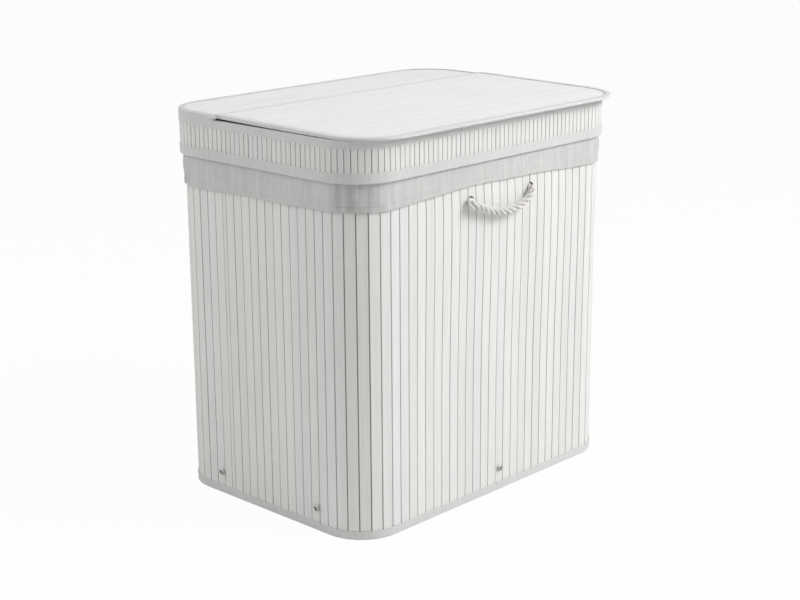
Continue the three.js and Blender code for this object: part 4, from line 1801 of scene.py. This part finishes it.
@dataclass
class RopeHandle(Assembly):
    """One rope handle: a loop that swings at its holes, and two ends knotted inside the wall."""

    wall: Wall
    rope: TwistedRope = TwistedRope()
    knot_rope: TwistedRope = TwistedRope(radius=4.5, lay=26.0, sides=24)
    loop_phase: float = 0.4
    neck_phase: float = 1.3
    stated_thickness: float = 11.5
    knot_size: float = 2.5
    knot_height: float = 3.6
    knot_depth: float = 12.6
    knot_tail: Triple = (4.5, 0.0, -7.5)
    loop_route: tuple[Triple, ...] = (
        (-70.6, 7.0, 476.0), (-71.3, 10.0, 473.8), (-67.0, 12.0, 472.0), (-58.0, 12.0, 469.6),
        (-46.0, 11.0, 464.5), (-27.0, 10.5, 457.6), (-7.5, 10.2, 453.0), (12.0, 10.0, 452.2),
        (28.0, 9.8, 453.4), (44.0, 9.5, 457.1), (56.3, 9.0, 461.4), (64.5, 8.5, 467.0),
        (68.8, 8.0, 471.5), (70.8, 7.2, 474.6),
    )
    neck_routes: tuple[tuple[Triple, ...], ...] = (
        (
            (-60.0, -6.0, 475.6), (-60.2, -2.0, 475.6), (-62.5, 1.6, 476.0),
            (-67.0, 4.4, 476.4), (-70.6, 7.0, 476.0), (-71.3, 9.6, 474.0),
        ),
        (
            (76.4, -6.0, 475.6), (76.3, -2.0, 475.7), (75.6, 1.6, 476.0),
            (73.6, 4.8, 475.8), (70.8, 7.2, 474.6), (69.1, 7.9, 471.9),
        ),
    )

    @property
    def at(self) -> str:
        """The wall's name, as nodes and pieces have it."""
        return self.wall.name.lower()

    def placed(self, x: float, reach: float, z: float) -> Vector:
        """A point given by its reach from the front wall's boards, or its twin on the back wall."""
        side = self.wall.value
        return LAYOUT.bowed(Vector((-side * x, side * (LAYOUT.half_depth + reach), z)))

    def build_loop(self) -> None:
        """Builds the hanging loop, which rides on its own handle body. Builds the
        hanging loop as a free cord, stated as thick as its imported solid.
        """
        points = [self.placed(*spot) for spot in self.loop_route]
        loop, route = self.rope.model(points, self.loop_phase)
        node, body = f"{self.at}_rope_handle", f"{self.at}_handle"
        Piece(f"{self.at}_rope_loop", body, Slot.ROPE, (node,)).finish(loop, self.finishes.rope)

    def knot(self, hole: Vector) -> list[Vector]:
        """Ties the knot behind a hole, an overhand turn that grips the wall's inside.

        Args:
            hole: The hole's middle.

        Returns:
            The knot's points, tail first.
        """
        points = [Vector(self.knot_tail)]
        for i in range(1, 19):
            t = FULL_TURN * i / 20
            x = self.knot_size * (math.sin(t) + 2.0 * math.sin(2.0 * t))
            z = self.knot_size * (math.cos(t) - 2.0 * math.cos(2.0 * t))
            points.append(Vector((x, self.knot_height * math.sin(3.0 * t), z)))
        side = self.wall.value
        wall_y = side * LAYOUT.half_depth
        ys = [wall_y - side * (self.knot_depth + p.y) for p in points]
        return [Vector((hole.x + p.x, y, hole.z + p.z)) for p, y in zip(points, ys)]

    def build_ends(self) -> None:
        """Builds the two ends, from the knot through the hole to the loop."""
        sides = ("left", "right") if self.wall is Wall.FRONT else ("right", "left")
        for side, route in zip(sides, self.neck_routes):
            x, _, z = route[0]
            neck, _ = self.rope.model([self.placed(*spot) for spot in route], self.neck_phase)
            points = [*self.knot(self.placed(x, 0.0, z)), self.placed(x, -4.5, z)]
            knot, _ = self.knot_rope.model(points, 0.0)
            node = f"rope_end_{self.at}_{side}"
            piece = Piece(f"{self.at}_rope_end_{side}", "base", Slot.ROPE, (node,))
            piece.finish(joined([neck, knot]), self.finishes.rope)

    def build(self) -> None:
        """Builds the whole handle."""
        self.build_loop()
        self.build_ends()


@dataclass
class Liner(Assembly):
    """The cloth liner: a hemmed cuff over the rim, and a bag with a divider between the two bins."""

    thickness: float = 1.2
    cuff_face: float = 2.5
    cuff_bottom: float = 490.0
    cuff_top: float = 583.3
    cuff_inner_face: float = -11.3
    cuff_inner_end: float = 560.3
    bag_face: float = -26.2
    bag_shoulder: float = 500.0
    floor_top: float = 51.8
    divider_half: float = 1.2
    divider_top: float = 552.3
    divider_wave: float = 3.5
    floor_wave: float = 1.8
    bag_slacks: tuple[float, float] = (3.0, 1.6)
    wave_top: float = 530.0
    edge_wave: float = 1.6
    front_rise: float = 8.0
    left_rise: float = 2.2
    corner_dip: float = 5.4
    corner_fullness: float = 1.7
    side_fullness: float = 0.55
    crease_width: float = 0.045
    creases: tuple[tuple[float, float], ...] = (
        (0.2, 1.4), (0.34, -1.3), (0.47, 1.9), (0.61, -1.4), (0.75, 1.2)
    )

    def edge_height(self, distance: float) -> float:
        """Finds how far the cuff's lower edge rises or dips.

        Args:
            distance: How far along the wall's outline.

        Returns:
            The rise, or a negative dip.
        """
        point, _ = LAYOUT.body.at(distance)
        height = self.edge_wave * noise.noise(Vector((point.x / 95.0, point.y / 95.0, 0.0)))
        if point.y < -LAYOUT.half_depth + 1.0:
            middle = smoothstep(-235.0, -90.0, point.x) * (1.0 - smoothstep(50.0, 215.0, point.x))
            height += self.front_rise * middle
        if point.x < -LAYOUT.half_width + 1.0:
            height += self.left_rise * math.exp(-(((point.y - 25.0) / 45.0) ** 2))
        corner = smoothstep(-225.0, -240.0, point.x) * smoothstep(-170.0, 40.0, point.y)
        return height - self.corner_dip * corner

    def fullness(self, distance: float, height: float) -> float:
        """Finds how far the cuff's cloth stands off, in soft folds that are fullest at the corners.

        Args:
            distance: How far along the wall's outline.
            height: How high up.

        Returns:
            How far out the cloth is pushed.
        """
        body = LAYOUT.body
        around = Vector((*body.way_round(distance, 1.0), 0.0))
        folds = noise.noise(around * 26.0 + Vector((0.0, 0.0, height / 160.0)))
        broad = noise.noise(around * 5.0 + Vector((3.0, 0.0, height / 90.0)))
        run = body.run_at(distance)
        share, creases = self.side_fullness, 0.0
        if run % 2:
            share, (start, end) = self.corner_fullness, body.starts[run : run + 2]
            across = (distance % body.length - start) / (end - start)
            for at, rise in self.creases:
                creases += rise * math.exp(-(((across - at) / self.crease_width) ** 2))
            creases *= smoothstep(491.0, 508.0, height)
        full = max(-1.0, (0.5 + share * 0.9 * folds + 0.7 * broad) + creases)
        return full * (1.0 - smoothstep(518.0, 534.0, height))

    def build_cuff(self) -> None:
        """Builds the cuff, folded over the rim."""
        body = LAYOUT.body
        fold = [
            (self.cuff_face, self.cuff_bottom),
            (self.cuff_face, self.cuff_top),
            (self.cuff_inner_face, self.cuff_top),
            (self.cuff_inner_face, self.cuff_inner_end),
        ]
        path = subdivided(rounded_path(fold, radius=2.5), step=7.0)
        marks = body.marks(0.0, body.length, straight_step=7.0, corner_step=3.4)

        def place(distance: float, row: int) -> Vector:
            """A point of the cuff's outer face.

            Args:
                distance: How far along the outline it is.
                row: Its place in the fold's path.

            Returns:
                The point.
            """
            offset, height = path[row]
            outer = offset > 0.0
            if outer and height < self.wave_top:
                share = (self.wave_top - height) / (self.wave_top - self.cuff_bottom)
                height += share * self.edge_height(distance)
            reach = offset + (self.fullness(distance, height) if outer else 0.0)
            point, _ = body.at(distance, reach)
            spot = Vector((point.x, point.y, height))
            return LAYOUT.bowed(spot) if outer else spot

        cuff = wrapped_sheet(marks, running_lengths(path), place, self.thickness, closed=True)
        Piece("cuff", "liner", Slot.LINEN, ("liner_cuff",)).finish(cuff, self.finishes.hemmed_linen)

    def build_bag(self) -> None:
        """Builds the bag's wall, which sags a little between its seams."""
        body = LAYOUT.body
        path = [
            Vector((self.cuff_inner_face, self.cuff_inner_end - 0.3)),
            Vector((self.bag_face, self.bag_shoulder)),
            Vector((self.bag_face, self.floor_top + 0.4)),
        ]
        path = subdivided(path, step=16.0)
        marks = body.marks(0.0, body.length, straight_step=16.0, corner_step=7.0)
        top, low = path[0].y, path[-1].y
        broad, fine = self.bag_slacks

        def place(distance: float, row: int) -> Vector:
            """A point of the bag's inner face, wrinkled inwards.

            Args:
                distance: How far along the outline it is.
                row: Its place in the bag's path.

            Returns:
                The point.
            """
            offset, height = path[row]
            free = smoothstep(low, low + 60.0, height)
            free *= 1.0 - smoothstep(top - 70.0, top - 8.0, height)
            around = Vector((*body.way_round(distance, 7.0), height / 140.0))
            slack = broad * abs(noise.noise(around)) + fine * abs(noise.noise(around * 2.7))
            point, _ = body.at(distance, offset - free * slack)
            return Vector((point.x, point.y, height))

        bag = wrapped_sheet(marks, running_lengths(path), place, self.thickness, closed=True)
        Piece("bag", "liner", Slot.LINEN, ("liner_bag",)).finish(bag, self.finishes.linen)

    def build_divider(self) -> None:
        """Builds the panel between the two bins, hung from its sewn edges."""
        half = LAYOUT.half_depth + self.bag_face - 0.4
        low = self.floor_top + 0.4
        marks = divided(-half, half, pitch=14.0)
        levels = divided(low, self.divider_top, pitch=16.0)

        def place(distance: float, row: int) -> Vector:
            """A point of the divider, which waves a little between its edges.

            Args:
                distance: How far from the middle it is.
                row: The number of its level.

            Returns:
                The point.
            """
            height = levels[row]
            free = math.cos(QUARTER_TURN * distance / half) * smoothstep(low, low + 80.0, height)
            wave = noise.noise(Vector((distance / 90.0, height / 170.0, 4.0)))
            return Vector((self.divider_wave * free * wave, distance, height))

        panel = wrapped_sheet(marks, levels, place, 2.0 * self.divider_half, closed=False, steady=0.0)
        Piece("divider", "liner", Slot.LINEN, ("liner_divider",)).finish(panel, self.finishes.linen)

    def build_floors(self) -> None:
        """Builds the two bins' floors."""
        bag = LAYOUT.body.grown(self.bag_face - 0.3)
        turned = RoundedOutline(bag.front, bag.back, bag.left, bag.right, bag.radius)
        columns = divided(0.0, 1.0, pitch=0.04)
        rows = divided(self.divider_half + 0.3, bag.right, pitch=11.0)
        for name, sign in (("left", -1.0), ("right", 1.0)):

            def place(share: float, row: int, sign: float = sign) -> Vector:
                """A point of the floor, whose front and back ends follow the bag's outline.

                Args:
                    share: How far along its row it is, from 0 to 1.
                    row: The number of its row.
                    sign: 1 for the right bin, -1 for the left.

                Returns:
                    The point.
                """
                low, high = turned.span_at(rows[row])
                along = low + (high - low) * share
                edge = min(share, 1.0 - share, row / len(rows), 1.0 - row / (len(rows) - 1.0))
                wrinkle = abs(noise.noise(Vector((rows[row] / 60.0, along / 45.0, sign))))
                rise = self.floor_wave * smoothstep(0.0, 0.12, edge) * wrinkle
                across = rows[row] if sign > 0.0 else -rows[row]
                return Vector((across, -along if sign > 0.0 else along, self.floor_top + rise))

            floor = wrapped_sheet(columns, rows, place, self.thickness, closed=False)
            face_outwards(floor)
            piece = Piece(f"{name}_bin_floor", "liner", Slot.LINEN, (f"liner_floor_{name}",))
            piece.finish(floor, self.finishes.linen)

    def build(self) -> None:
        """Builds the whole liner."""
        self.build_cuff()
        self.build_bag()
        self.build_divider()
        self.build_floors()


@dataclass
class StripTop:
    """Strips side by side along X, trimmed to an outline."""

    outline: RoundedOutline
    inset: float
    first: float
    last: float
    top: float
    chance: random.Random
    pitch: float = 16.3
    gap: float = 0.9
    thickness: float = 1.5
    edge: float = 0.5
    levels: tuple[float, float] = (-0.06, 0.03)

    def blank(self) -> Object:
        """Models one strip, a millimetre long along X, with its upper edges eased.

        Returns:
            The strip's object.
        """
        deselect_all()
        bpy.ops.mesh.primitive_cube_add(size=MM)
        strip = bpy.context.object
        start_edit(strip, Pick.EDGES)
        pick_all()
        bpy.ops.transform.resize(value=(1.0, self.pitch - self.gap, self.thickness))
        bpy.ops.transform.translate(value=(0.0, 0.0, -0.5 * self.thickness * MM))
        middle_z = -0.5 * self.thickness
        pick(strip, Pick.EDGES, lambda centre, along: abs(along.x) > ALIGNED and centre.z > middle_z)
        bpy.ops.mesh.bevel(offset=self.edge * MM, segments=2)
        end_edit()
        return strip

    def model(self) -> Object:
        """Copies the strip from the first line to the last, each end trimmed to the outline.

        Returns:
            The joined strips.
        """
        pattern = self.blank()
        lines = divided(self.first, self.last, self.pitch)
        strips = []
        for low, high in zip(lines, lines[1:]):
            mesh = pattern.data.copy()
            middle = 0.5 * (low + high)
            lift = self.chance.uniform(*self.levels)
            stretch = (abs(high - low) - self.gap) / (self.pitch - self.gap)
            for vertex in mesh.vertices:
                y = middle + vertex.co.y / MM * stretch
                left, right = self.outline.span_at(y, self.inset)
                x = left + (right - left) * (vertex.co.x / MM + 0.5)
                vertex.co = Vector((x, y, self.top + lift + vertex.co.z / MM)) * MM
            toned(mesh, self.chance.random())
            strips.append(new_object("strip", mesh))
        discard(pattern)
        plate = joined(strips)
        smooth_edges(plate, Smoothing.STRIP)
        return plate


@dataclass
class Lid(Assembly):
    """The lift-off lid: a skirt of short strips, tapes, and the fixed rear part of its top."""

    reach: float = 7.8
    strip_pitch: float = 9.78
    strip_gap: float = 1.15
    corner_gap: float = 0.95
    strip_thickness: float = 1.5
    strip_face: float = 7.0
    strip_edge: float = 0.65
    strip_lean: float = 0.08
    strip_turn: float = 0.45
    strip_drop: float = 0.8
    skirt_bottom: float = 531.4
    skirt_top: float = 591.5
    tape_thickness: float = 0.5
    edge_rounding: float = 1.2
    rear_rounding: float = 3.5
    skirt_inner: float = 3.4
    bottom_tape_height: float = 15.6
    top_tape_bottom: float = 580.0
    wrap: float = 10.0
    hinge_gap: float = 0.75
    seam: float = 0.15
    chance: random.Random = field(default_factory=lambda: random.Random(23))

    def edges(self) -> dict[str, list[float]]:
        """Finds where the skirt's strips meet.

        Returns:
            The strips' edges along the wall's outline, by run.
        """
        body = LAYOUT.body
        names = ("left", "front_left_corner", "front", "front_right_corner")
        names += ("right", "back_right_corner", "back", "back_left_corner")
        corner_pitch = self.strip_pitch * body.radius / (body.radius + self.reach)
        runs = {}
        for i, name in enumerate(names):
            pitch = corner_pitch if i % 2 else self.strip_pitch
            runs[name] = divided(body.starts[i], body.starts[i + 1], pitch)
        return runs

    def build_skirt(self) -> None:
        """Builds the skirt's strips."""
        low = self.skirt_bottom + self.tape_thickness + 0.3
        for name, edges in self.edges().items():
            gap = self.corner_gap if "corner" in name else self.strip_gap
            width, high = self.strip_pitch - gap, self.skirt_top
            blank = BoardBlank(width, self.strip_thickness, low, high, self.strip_edge)
            loose = self.strip_lean, self.strip_turn
            run = BoardRun(edges, self.strip_face, gap, blank, self.chance, *loose).model()
            piece = Piece(f"{name}_skirt_strips", "lid", Slot.BOARDS, (f"lid_strips_{name}",))
            piece.finish(run, self.finishes.strips)

    def build_tapes(self) -> None:
        """Builds the tapes along the skirt's lower and upper edge."""
        body, thickness = LAYOUT.body, self.tape_thickness
        low, high = self.skirt_bottom, self.skirt_bottom + self.bottom_tape_height
        inner, outer = self.skirt_inner, self.reach
        rim, leg, top = self.skirt_top + self.strip_drop, self.top_tape_bottom, LAYOUT.lid_top
        rear_y = LAYOUT.hinge_y + self.hinge_gap
        front_y = LAYOUT.hinge_y + (self.hinge_gap - self.seam)
        bottom = [(inner, high), (inner, low), (outer, low), (outer, high)]
        front = [(outer, leg), (outer, rim), (inner, rim), (inner, leg)]
        rear = [(outer, leg), (outer, top), (outer - self.wrap, top)]
        edge, rear_edge = self.edge_rounding, self.rear_rounding
        front_ends = body.on_left(front_y), body.on_right(front_y)
        rear_ends = body.on_right(rear_y), body.length + body.on_left(rear_y)
        for name, node, folded, ends in (
            ("bottom", "lid_bottom_tape", FoldedTape(bottom, thickness, edge, 0.35), (0.0,)),
            ("rim_front", "lid_rim_tape_front", FoldedTape(front, thickness, edge, 0.25), front_ends),
            ("rim_rear", "lid_rim_tape_rear", FoldedTape(rear, thickness, rear_edge, 0.25), rear_ends),
        ):
            tape = folded.model(body, *ends)
            Piece(f"lid_{name}_binding", "lid", Slot.TAPE, (node,)).finish(tape, self.finishes.tape)

    def build_rear_top(self) -> None:
        """Builds the strips of the fixed rear part."""
        outline = LAYOUT.body.grown(self.strip_face)
        first, height = LAYOUT.hinge_y + self.hinge_gap, LAYOUT.lid_top - self.strip_drop
        top = StripTop(outline, 0.0, first, outline.back, height, self.chance).model()
        piece = Piece("rear_top_strips", "lid", Slot.BOARDS, ("lid_rear_panel",))
        piece.finish(top, self.finishes.top_strips)

    def build(self) -> None:
        """Builds the whole lid without its flap."""
        self.build_skirt()
        self.build_tapes()
        self.build_rear_top()


@dataclass
class Flap(Assembly):
    """The hinged front part of the top: strips bound by a tape round their edge."""

    left: float = -294.0
    right: float = 302.5
    depth: float = 312.7
    radius: float = 80.0
    thickness: float = 4.4
    hinge_gap: float = 0.75
    wrap: float = 10.0
    tape_thickness: float = 0.5
    strip_drop: float = 0.8
    side_padding: float = 1.8
    padded_run: tuple[float, float] = (-300.0, -140.0)
    end_start: float = -8.0
    end_reach: float = 11.0
    end_inner: float = -298.3
    end_thickness: float = 3.0
    end_powers: Triple = (0.8, 0.35, 0.5)
    chance: random.Random = field(default_factory=lambda: random.Random(31))

    @property
    def outline(self) -> RoundedOutline:
        """The flap's edge, with its top face level and the hinge line at y = 0."""
        back = self.radius - self.hinge_gap
        return RoundedOutline(self.left, self.right, -self.depth, back, self.radius)

    def settle(self, obj: Object) -> None:
        """Tilts a level piece about the hinge line to where the flap rests."""
        obj.data.transform(
            Matrix.Translation((0.0, LAYOUT.hinge_y * MM, LAYOUT.hinge_z * MM))
            @ Matrix.Rotation(LAYOUT.flap_tilt, 4, "X")
        )

    def build_strips(self) -> None:
        """Builds the flap's strips."""
        inset = self.tape_thickness + 0.3
        first, last = -self.hinge_gap, -self.depth + inset
        strips = StripTop(self.outline, inset, first, last, -self.strip_drop, self.chance).model()
        self.settle(strips)
        piece = Piece("flap_strips", "flap", Slot.BOARDS, ("flap_panel",))
        piece.finish(strips, self.finishes.top_strips)

    def padded_edge(self, point: Vector) -> Vector:
        """Lowers the tape's under side along the flap's sides, where the tape is doubled.

        Args:
            point: A point of the tape, before the flap is tilted.

        Returns:
            The point, lowered if it is on the under side and away from the front edge.
        """
        under = smoothstep(-0.3 * self.thickness, -0.9 * self.thickness, point.z)
        drop = self.side_padding * under * smoothstep(*self.padded_run, point.y)
        return point - Vector((0.0, 0.0, drop))

    def tape_end(self) -> Object:
        """Models the tape's rolled end, which stands past the hinge beside the rear part's edge.

        Returns:
            The end's object.
        """
        deselect_all()
        bpy.ops.mesh.primitive_uv_sphere_add(segments=24, ring_count=14, radius=0.5 * MM)
        roll = bpy.context.object
        low = -self.thickness - self.side_padding
        start, end = self.end_start, self.end_reach
        inner, outer = self.end_inner, self.end_inner - self.end_thickness

        def shaped(point: Vector) -> Vector:
            """Turns the ball into a boxy pad with rounded corners.

            Args:
                point: A point of the ball.

            Returns:
                Its place on the pad.
            """
            pairs = zip(point, self.end_powers)
            boxy = [math.copysign(0.5 * abs(2.0 * part) ** power, part) for part, power in pairs]
            return Vector((
                0.5 * (inner + outer) + boxy[0] * (inner - outer),
                0.5 * (start + end) + boxy[1] * (end - start),
                0.5 * low + boxy[2] * -low,
            ))

        moved(roll, shaped)
        for loop in roll.data.uv_layers.active.data:
            loop.uv = (loop.uv.x * 4.0 * -low * MM, loop.uv.y * (end - start) * MM)
        smooth_edges(roll, Smoothing.PAD)
        return roll

    def build_tape(self) -> None:
        """Builds the tape round the flap's edge."""
        fold = [(-self.wrap, -self.thickness), (0.0, -self.thickness), (0.0, 0.0), (-self.wrap, 0.0)]
        tape = FoldedTape(fold, self.tape_thickness, 1.3, 0.2)
        outline = self.outline
        obj = tape.model(outline, 0.0, outline.on_right(-self.hinge_gap))
        moved(obj, self.padded_edge)
        obj = joined([obj, self.tape_end()])
        self.settle(obj)
        piece = Piece("flap_binding", "flap", Slot.TAPE, ("flap_edge_tape",))
        piece.finish(obj, self.finishes.sewn_tape_painted_light)

    def build(self) -> None:
        """Builds the whole flap."""
        self.build_strips()
        self.build_tape()


@dataclass(frozen=True)
class Lamp:
    """A square soft lamp that faces the hamper, placed and sized in metres."""

    name: str
    place: Triple
    size: float
    power: float
    aim: Triple = (0.0, 0.0, 0.3)

    def build(self) -> None:
        """Adds the lamp."""
        data = bpy.data.lights.new(self.name, "AREA")
        data.energy = self.power
        data.size = self.size
        lamp = new_object(self.name, data)
        lamp.location = self.place
        lamp.rotation_euler = (Vector(self.aim) - Vector(self.place)).to_track_quat("-Z", "Y").to_euler()


@dataclass(frozen=True)
class Studio:
    """The camera at the photograph's place, soft plain lamps and a pale floor."""

    camera_place: Triple = (-1840.05, -1753.44, 993.2)
    yaw: float = 46.326
    pitch: float = 15.80
    roll: float = -0.368
    lens: float = 74.01
    sensor: float = 36.0
    view_end: float = 50.0
    floor_size: float = 40.0
    floor_drop: float = 0.5
    floor_grey: float = 0.8
    floor_white: float = 0.96
    world_light: float = 0.61
    lamps: tuple[Lamp, ...] = (
        Lamp("key_lamp", (1.5, -2.47, 2.6), size=1.7, power=95.0),
        Lamp("left_lamp", (-2.0, 1.72, 2.2), size=2.0, power=30.5),
        Lamp("top_lamp", (-0.2, -0.2, 3.2), size=2.4, power=6.0),
    )

    def build_camera(self) -> None:
        """Places the camera."""
        yaw, pitch, roll = (math.radians(angle) for angle in (self.yaw, self.pitch, self.roll))
        level_share = math.cos(pitch)
        ahead = Vector((math.sin(yaw) * level_share, math.cos(yaw) * level_share, -math.sin(pitch)))
        level = Vector((math.cos(yaw), -math.sin(yaw), 0.0))
        above = level.cross(ahead)
        right = level * math.cos(roll) + above * math.sin(roll)
        up = above * math.cos(roll) - level * math.sin(roll)
        data = bpy.data.cameras.new("camera")
        data.lens = self.lens
        data.sensor_width = self.sensor
        data.clip_end = self.view_end
        camera = new_object("camera", data)
        turn = Matrix((right, up, -ahead)).transposed().to_4x4()
        camera.matrix_world = Matrix.Translation(Vector(self.camera_place) * MM) @ turn
        bpy.context.scene.camera = camera

    def build_world(self) -> None:
        """Lights the scene from all round, least from straight above, and shows white behind it."""
        world = bpy.data.worlds.new("studio")
        bpy.context.scene.world = world
        world.use_nodes = True
        graph = Graph(world.node_tree)
        world.node_tree.nodes.clear()
        path = graph.add("ShaderNodeLightPath")
        seen = graph.math(
            "MAXIMUM",
            path.outputs["Is Camera Ray"],
            graph.math("MAXIMUM", path.outputs["Is Glossy Ray"], path.outputs["Is Transmission Ray"]),
        )
        upward = graph.axes(graph.add("ShaderNodeTexCoord").outputs["Generated"])[2]
        fall = graph.math("SUBTRACT", 1.0, graph.math("MULTIPLY", upward, upward))
        level = graph.math("MULTIPLY", fall, self.world_light)
        light = graph.add("ShaderNodeBackground", {"Color": WHITE, "Strength": level})
        white = graph.add("ShaderNodeBackground", {"Color": WHITE, "Strength": 1.0})
        mix = graph.add("ShaderNodeMixShader", {0: seen, 1: light.outputs[0], 2: white.outputs[0]})
        graph.add("ShaderNodeOutputWorld", {0: mix.outputs[0]})

    def build_floor(self) -> None:
        """Builds the pale floor, which keeps the hamper's soft shadow."""
        deselect_all()
        bpy.ops.mesh.primitive_plane_add(size=self.floor_size)
        floor = bpy.context.object
        floor.name = "studio_floor"
        floor.data.transform(Matrix.Translation((0.0, 0.0, -self.floor_drop * MM)))
        material = bpy.data.materials.new("studio_floor")
        material.use_nodes = True
        graph = Graph(material.node_tree)
        material.node_tree.nodes.clear()
        path = graph.add("ShaderNodeLightPath")
        paper = graph.add("ShaderNodeBsdfDiffuse", {"Color": (*[self.floor_grey] * 3, 1.0)})
        white = graph.add("ShaderNodeEmission", {"Color": WHITE, "Strength": 1.0})
        share = graph.math("MULTIPLY", path.outputs["Is Camera Ray"], self.floor_white)
        mix = graph.add("ShaderNodeMixShader", {0: share, 1: paper.outputs[0], 2: white.outputs[0]})
        graph.add("ShaderNodeOutputMaterial", {0: mix.outputs[0]})
        floor.data.materials.append(material)

    def build(self) -> None:
        """Builds the whole studio."""
        bpy.context.scene.view_settings.view_transform = "Standard"
        self.build_world()
        self.build_floor()
        for lamp in self.lamps:
            lamp.build()


def dress_carried_solids(nodes: dict[str, Object], finishes: Finishes) -> None:
    """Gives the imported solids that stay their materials.

    Args:
        nodes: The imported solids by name.
        finishes: The hamper's materials.
    """
    looks = (
        (finishes.wood, ("base_batten_front", "base_batten_back", "base_board", "lid_crossbar")),
        (finishes.cross_wood, ("base_batten_left", "base_batten_right", "rim_hoop", "lid_frame")),
        (finishes.cross_wood, ("lid_rear_rail",)),
        (finishes.backing, ("lid_skirt_cloth", "hinge_cloth")),
        (finishes.lining, ("lid_rear_cloth", "flap_cloth")),
    )
    for look, names in looks:
        for name in names:
            for slot in nodes[name].material_slots:
                slot.material = look
            log.info("%s: kept as packed, in %s", name, look.name)


def main() -> None:
    """Builds the studio and the hamper in order."""
    logging.basicConfig(level=logging.INFO, format="%(name)s: %(message)s")
    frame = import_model()
    studio = Studio()
    studio.build_camera()
    finishes = Finishes()
    for wall in Wall:
        RopeHandle(finishes, wall).build()
    WallBody(finishes).build()
    Liner(finishes).build()
    Lid(finishes).build()
    Flap(finishes).build()
    dress_carried_solids(frame["nodes"], finishes)
    studio.build()


if __name__ == "__main__":
    main()
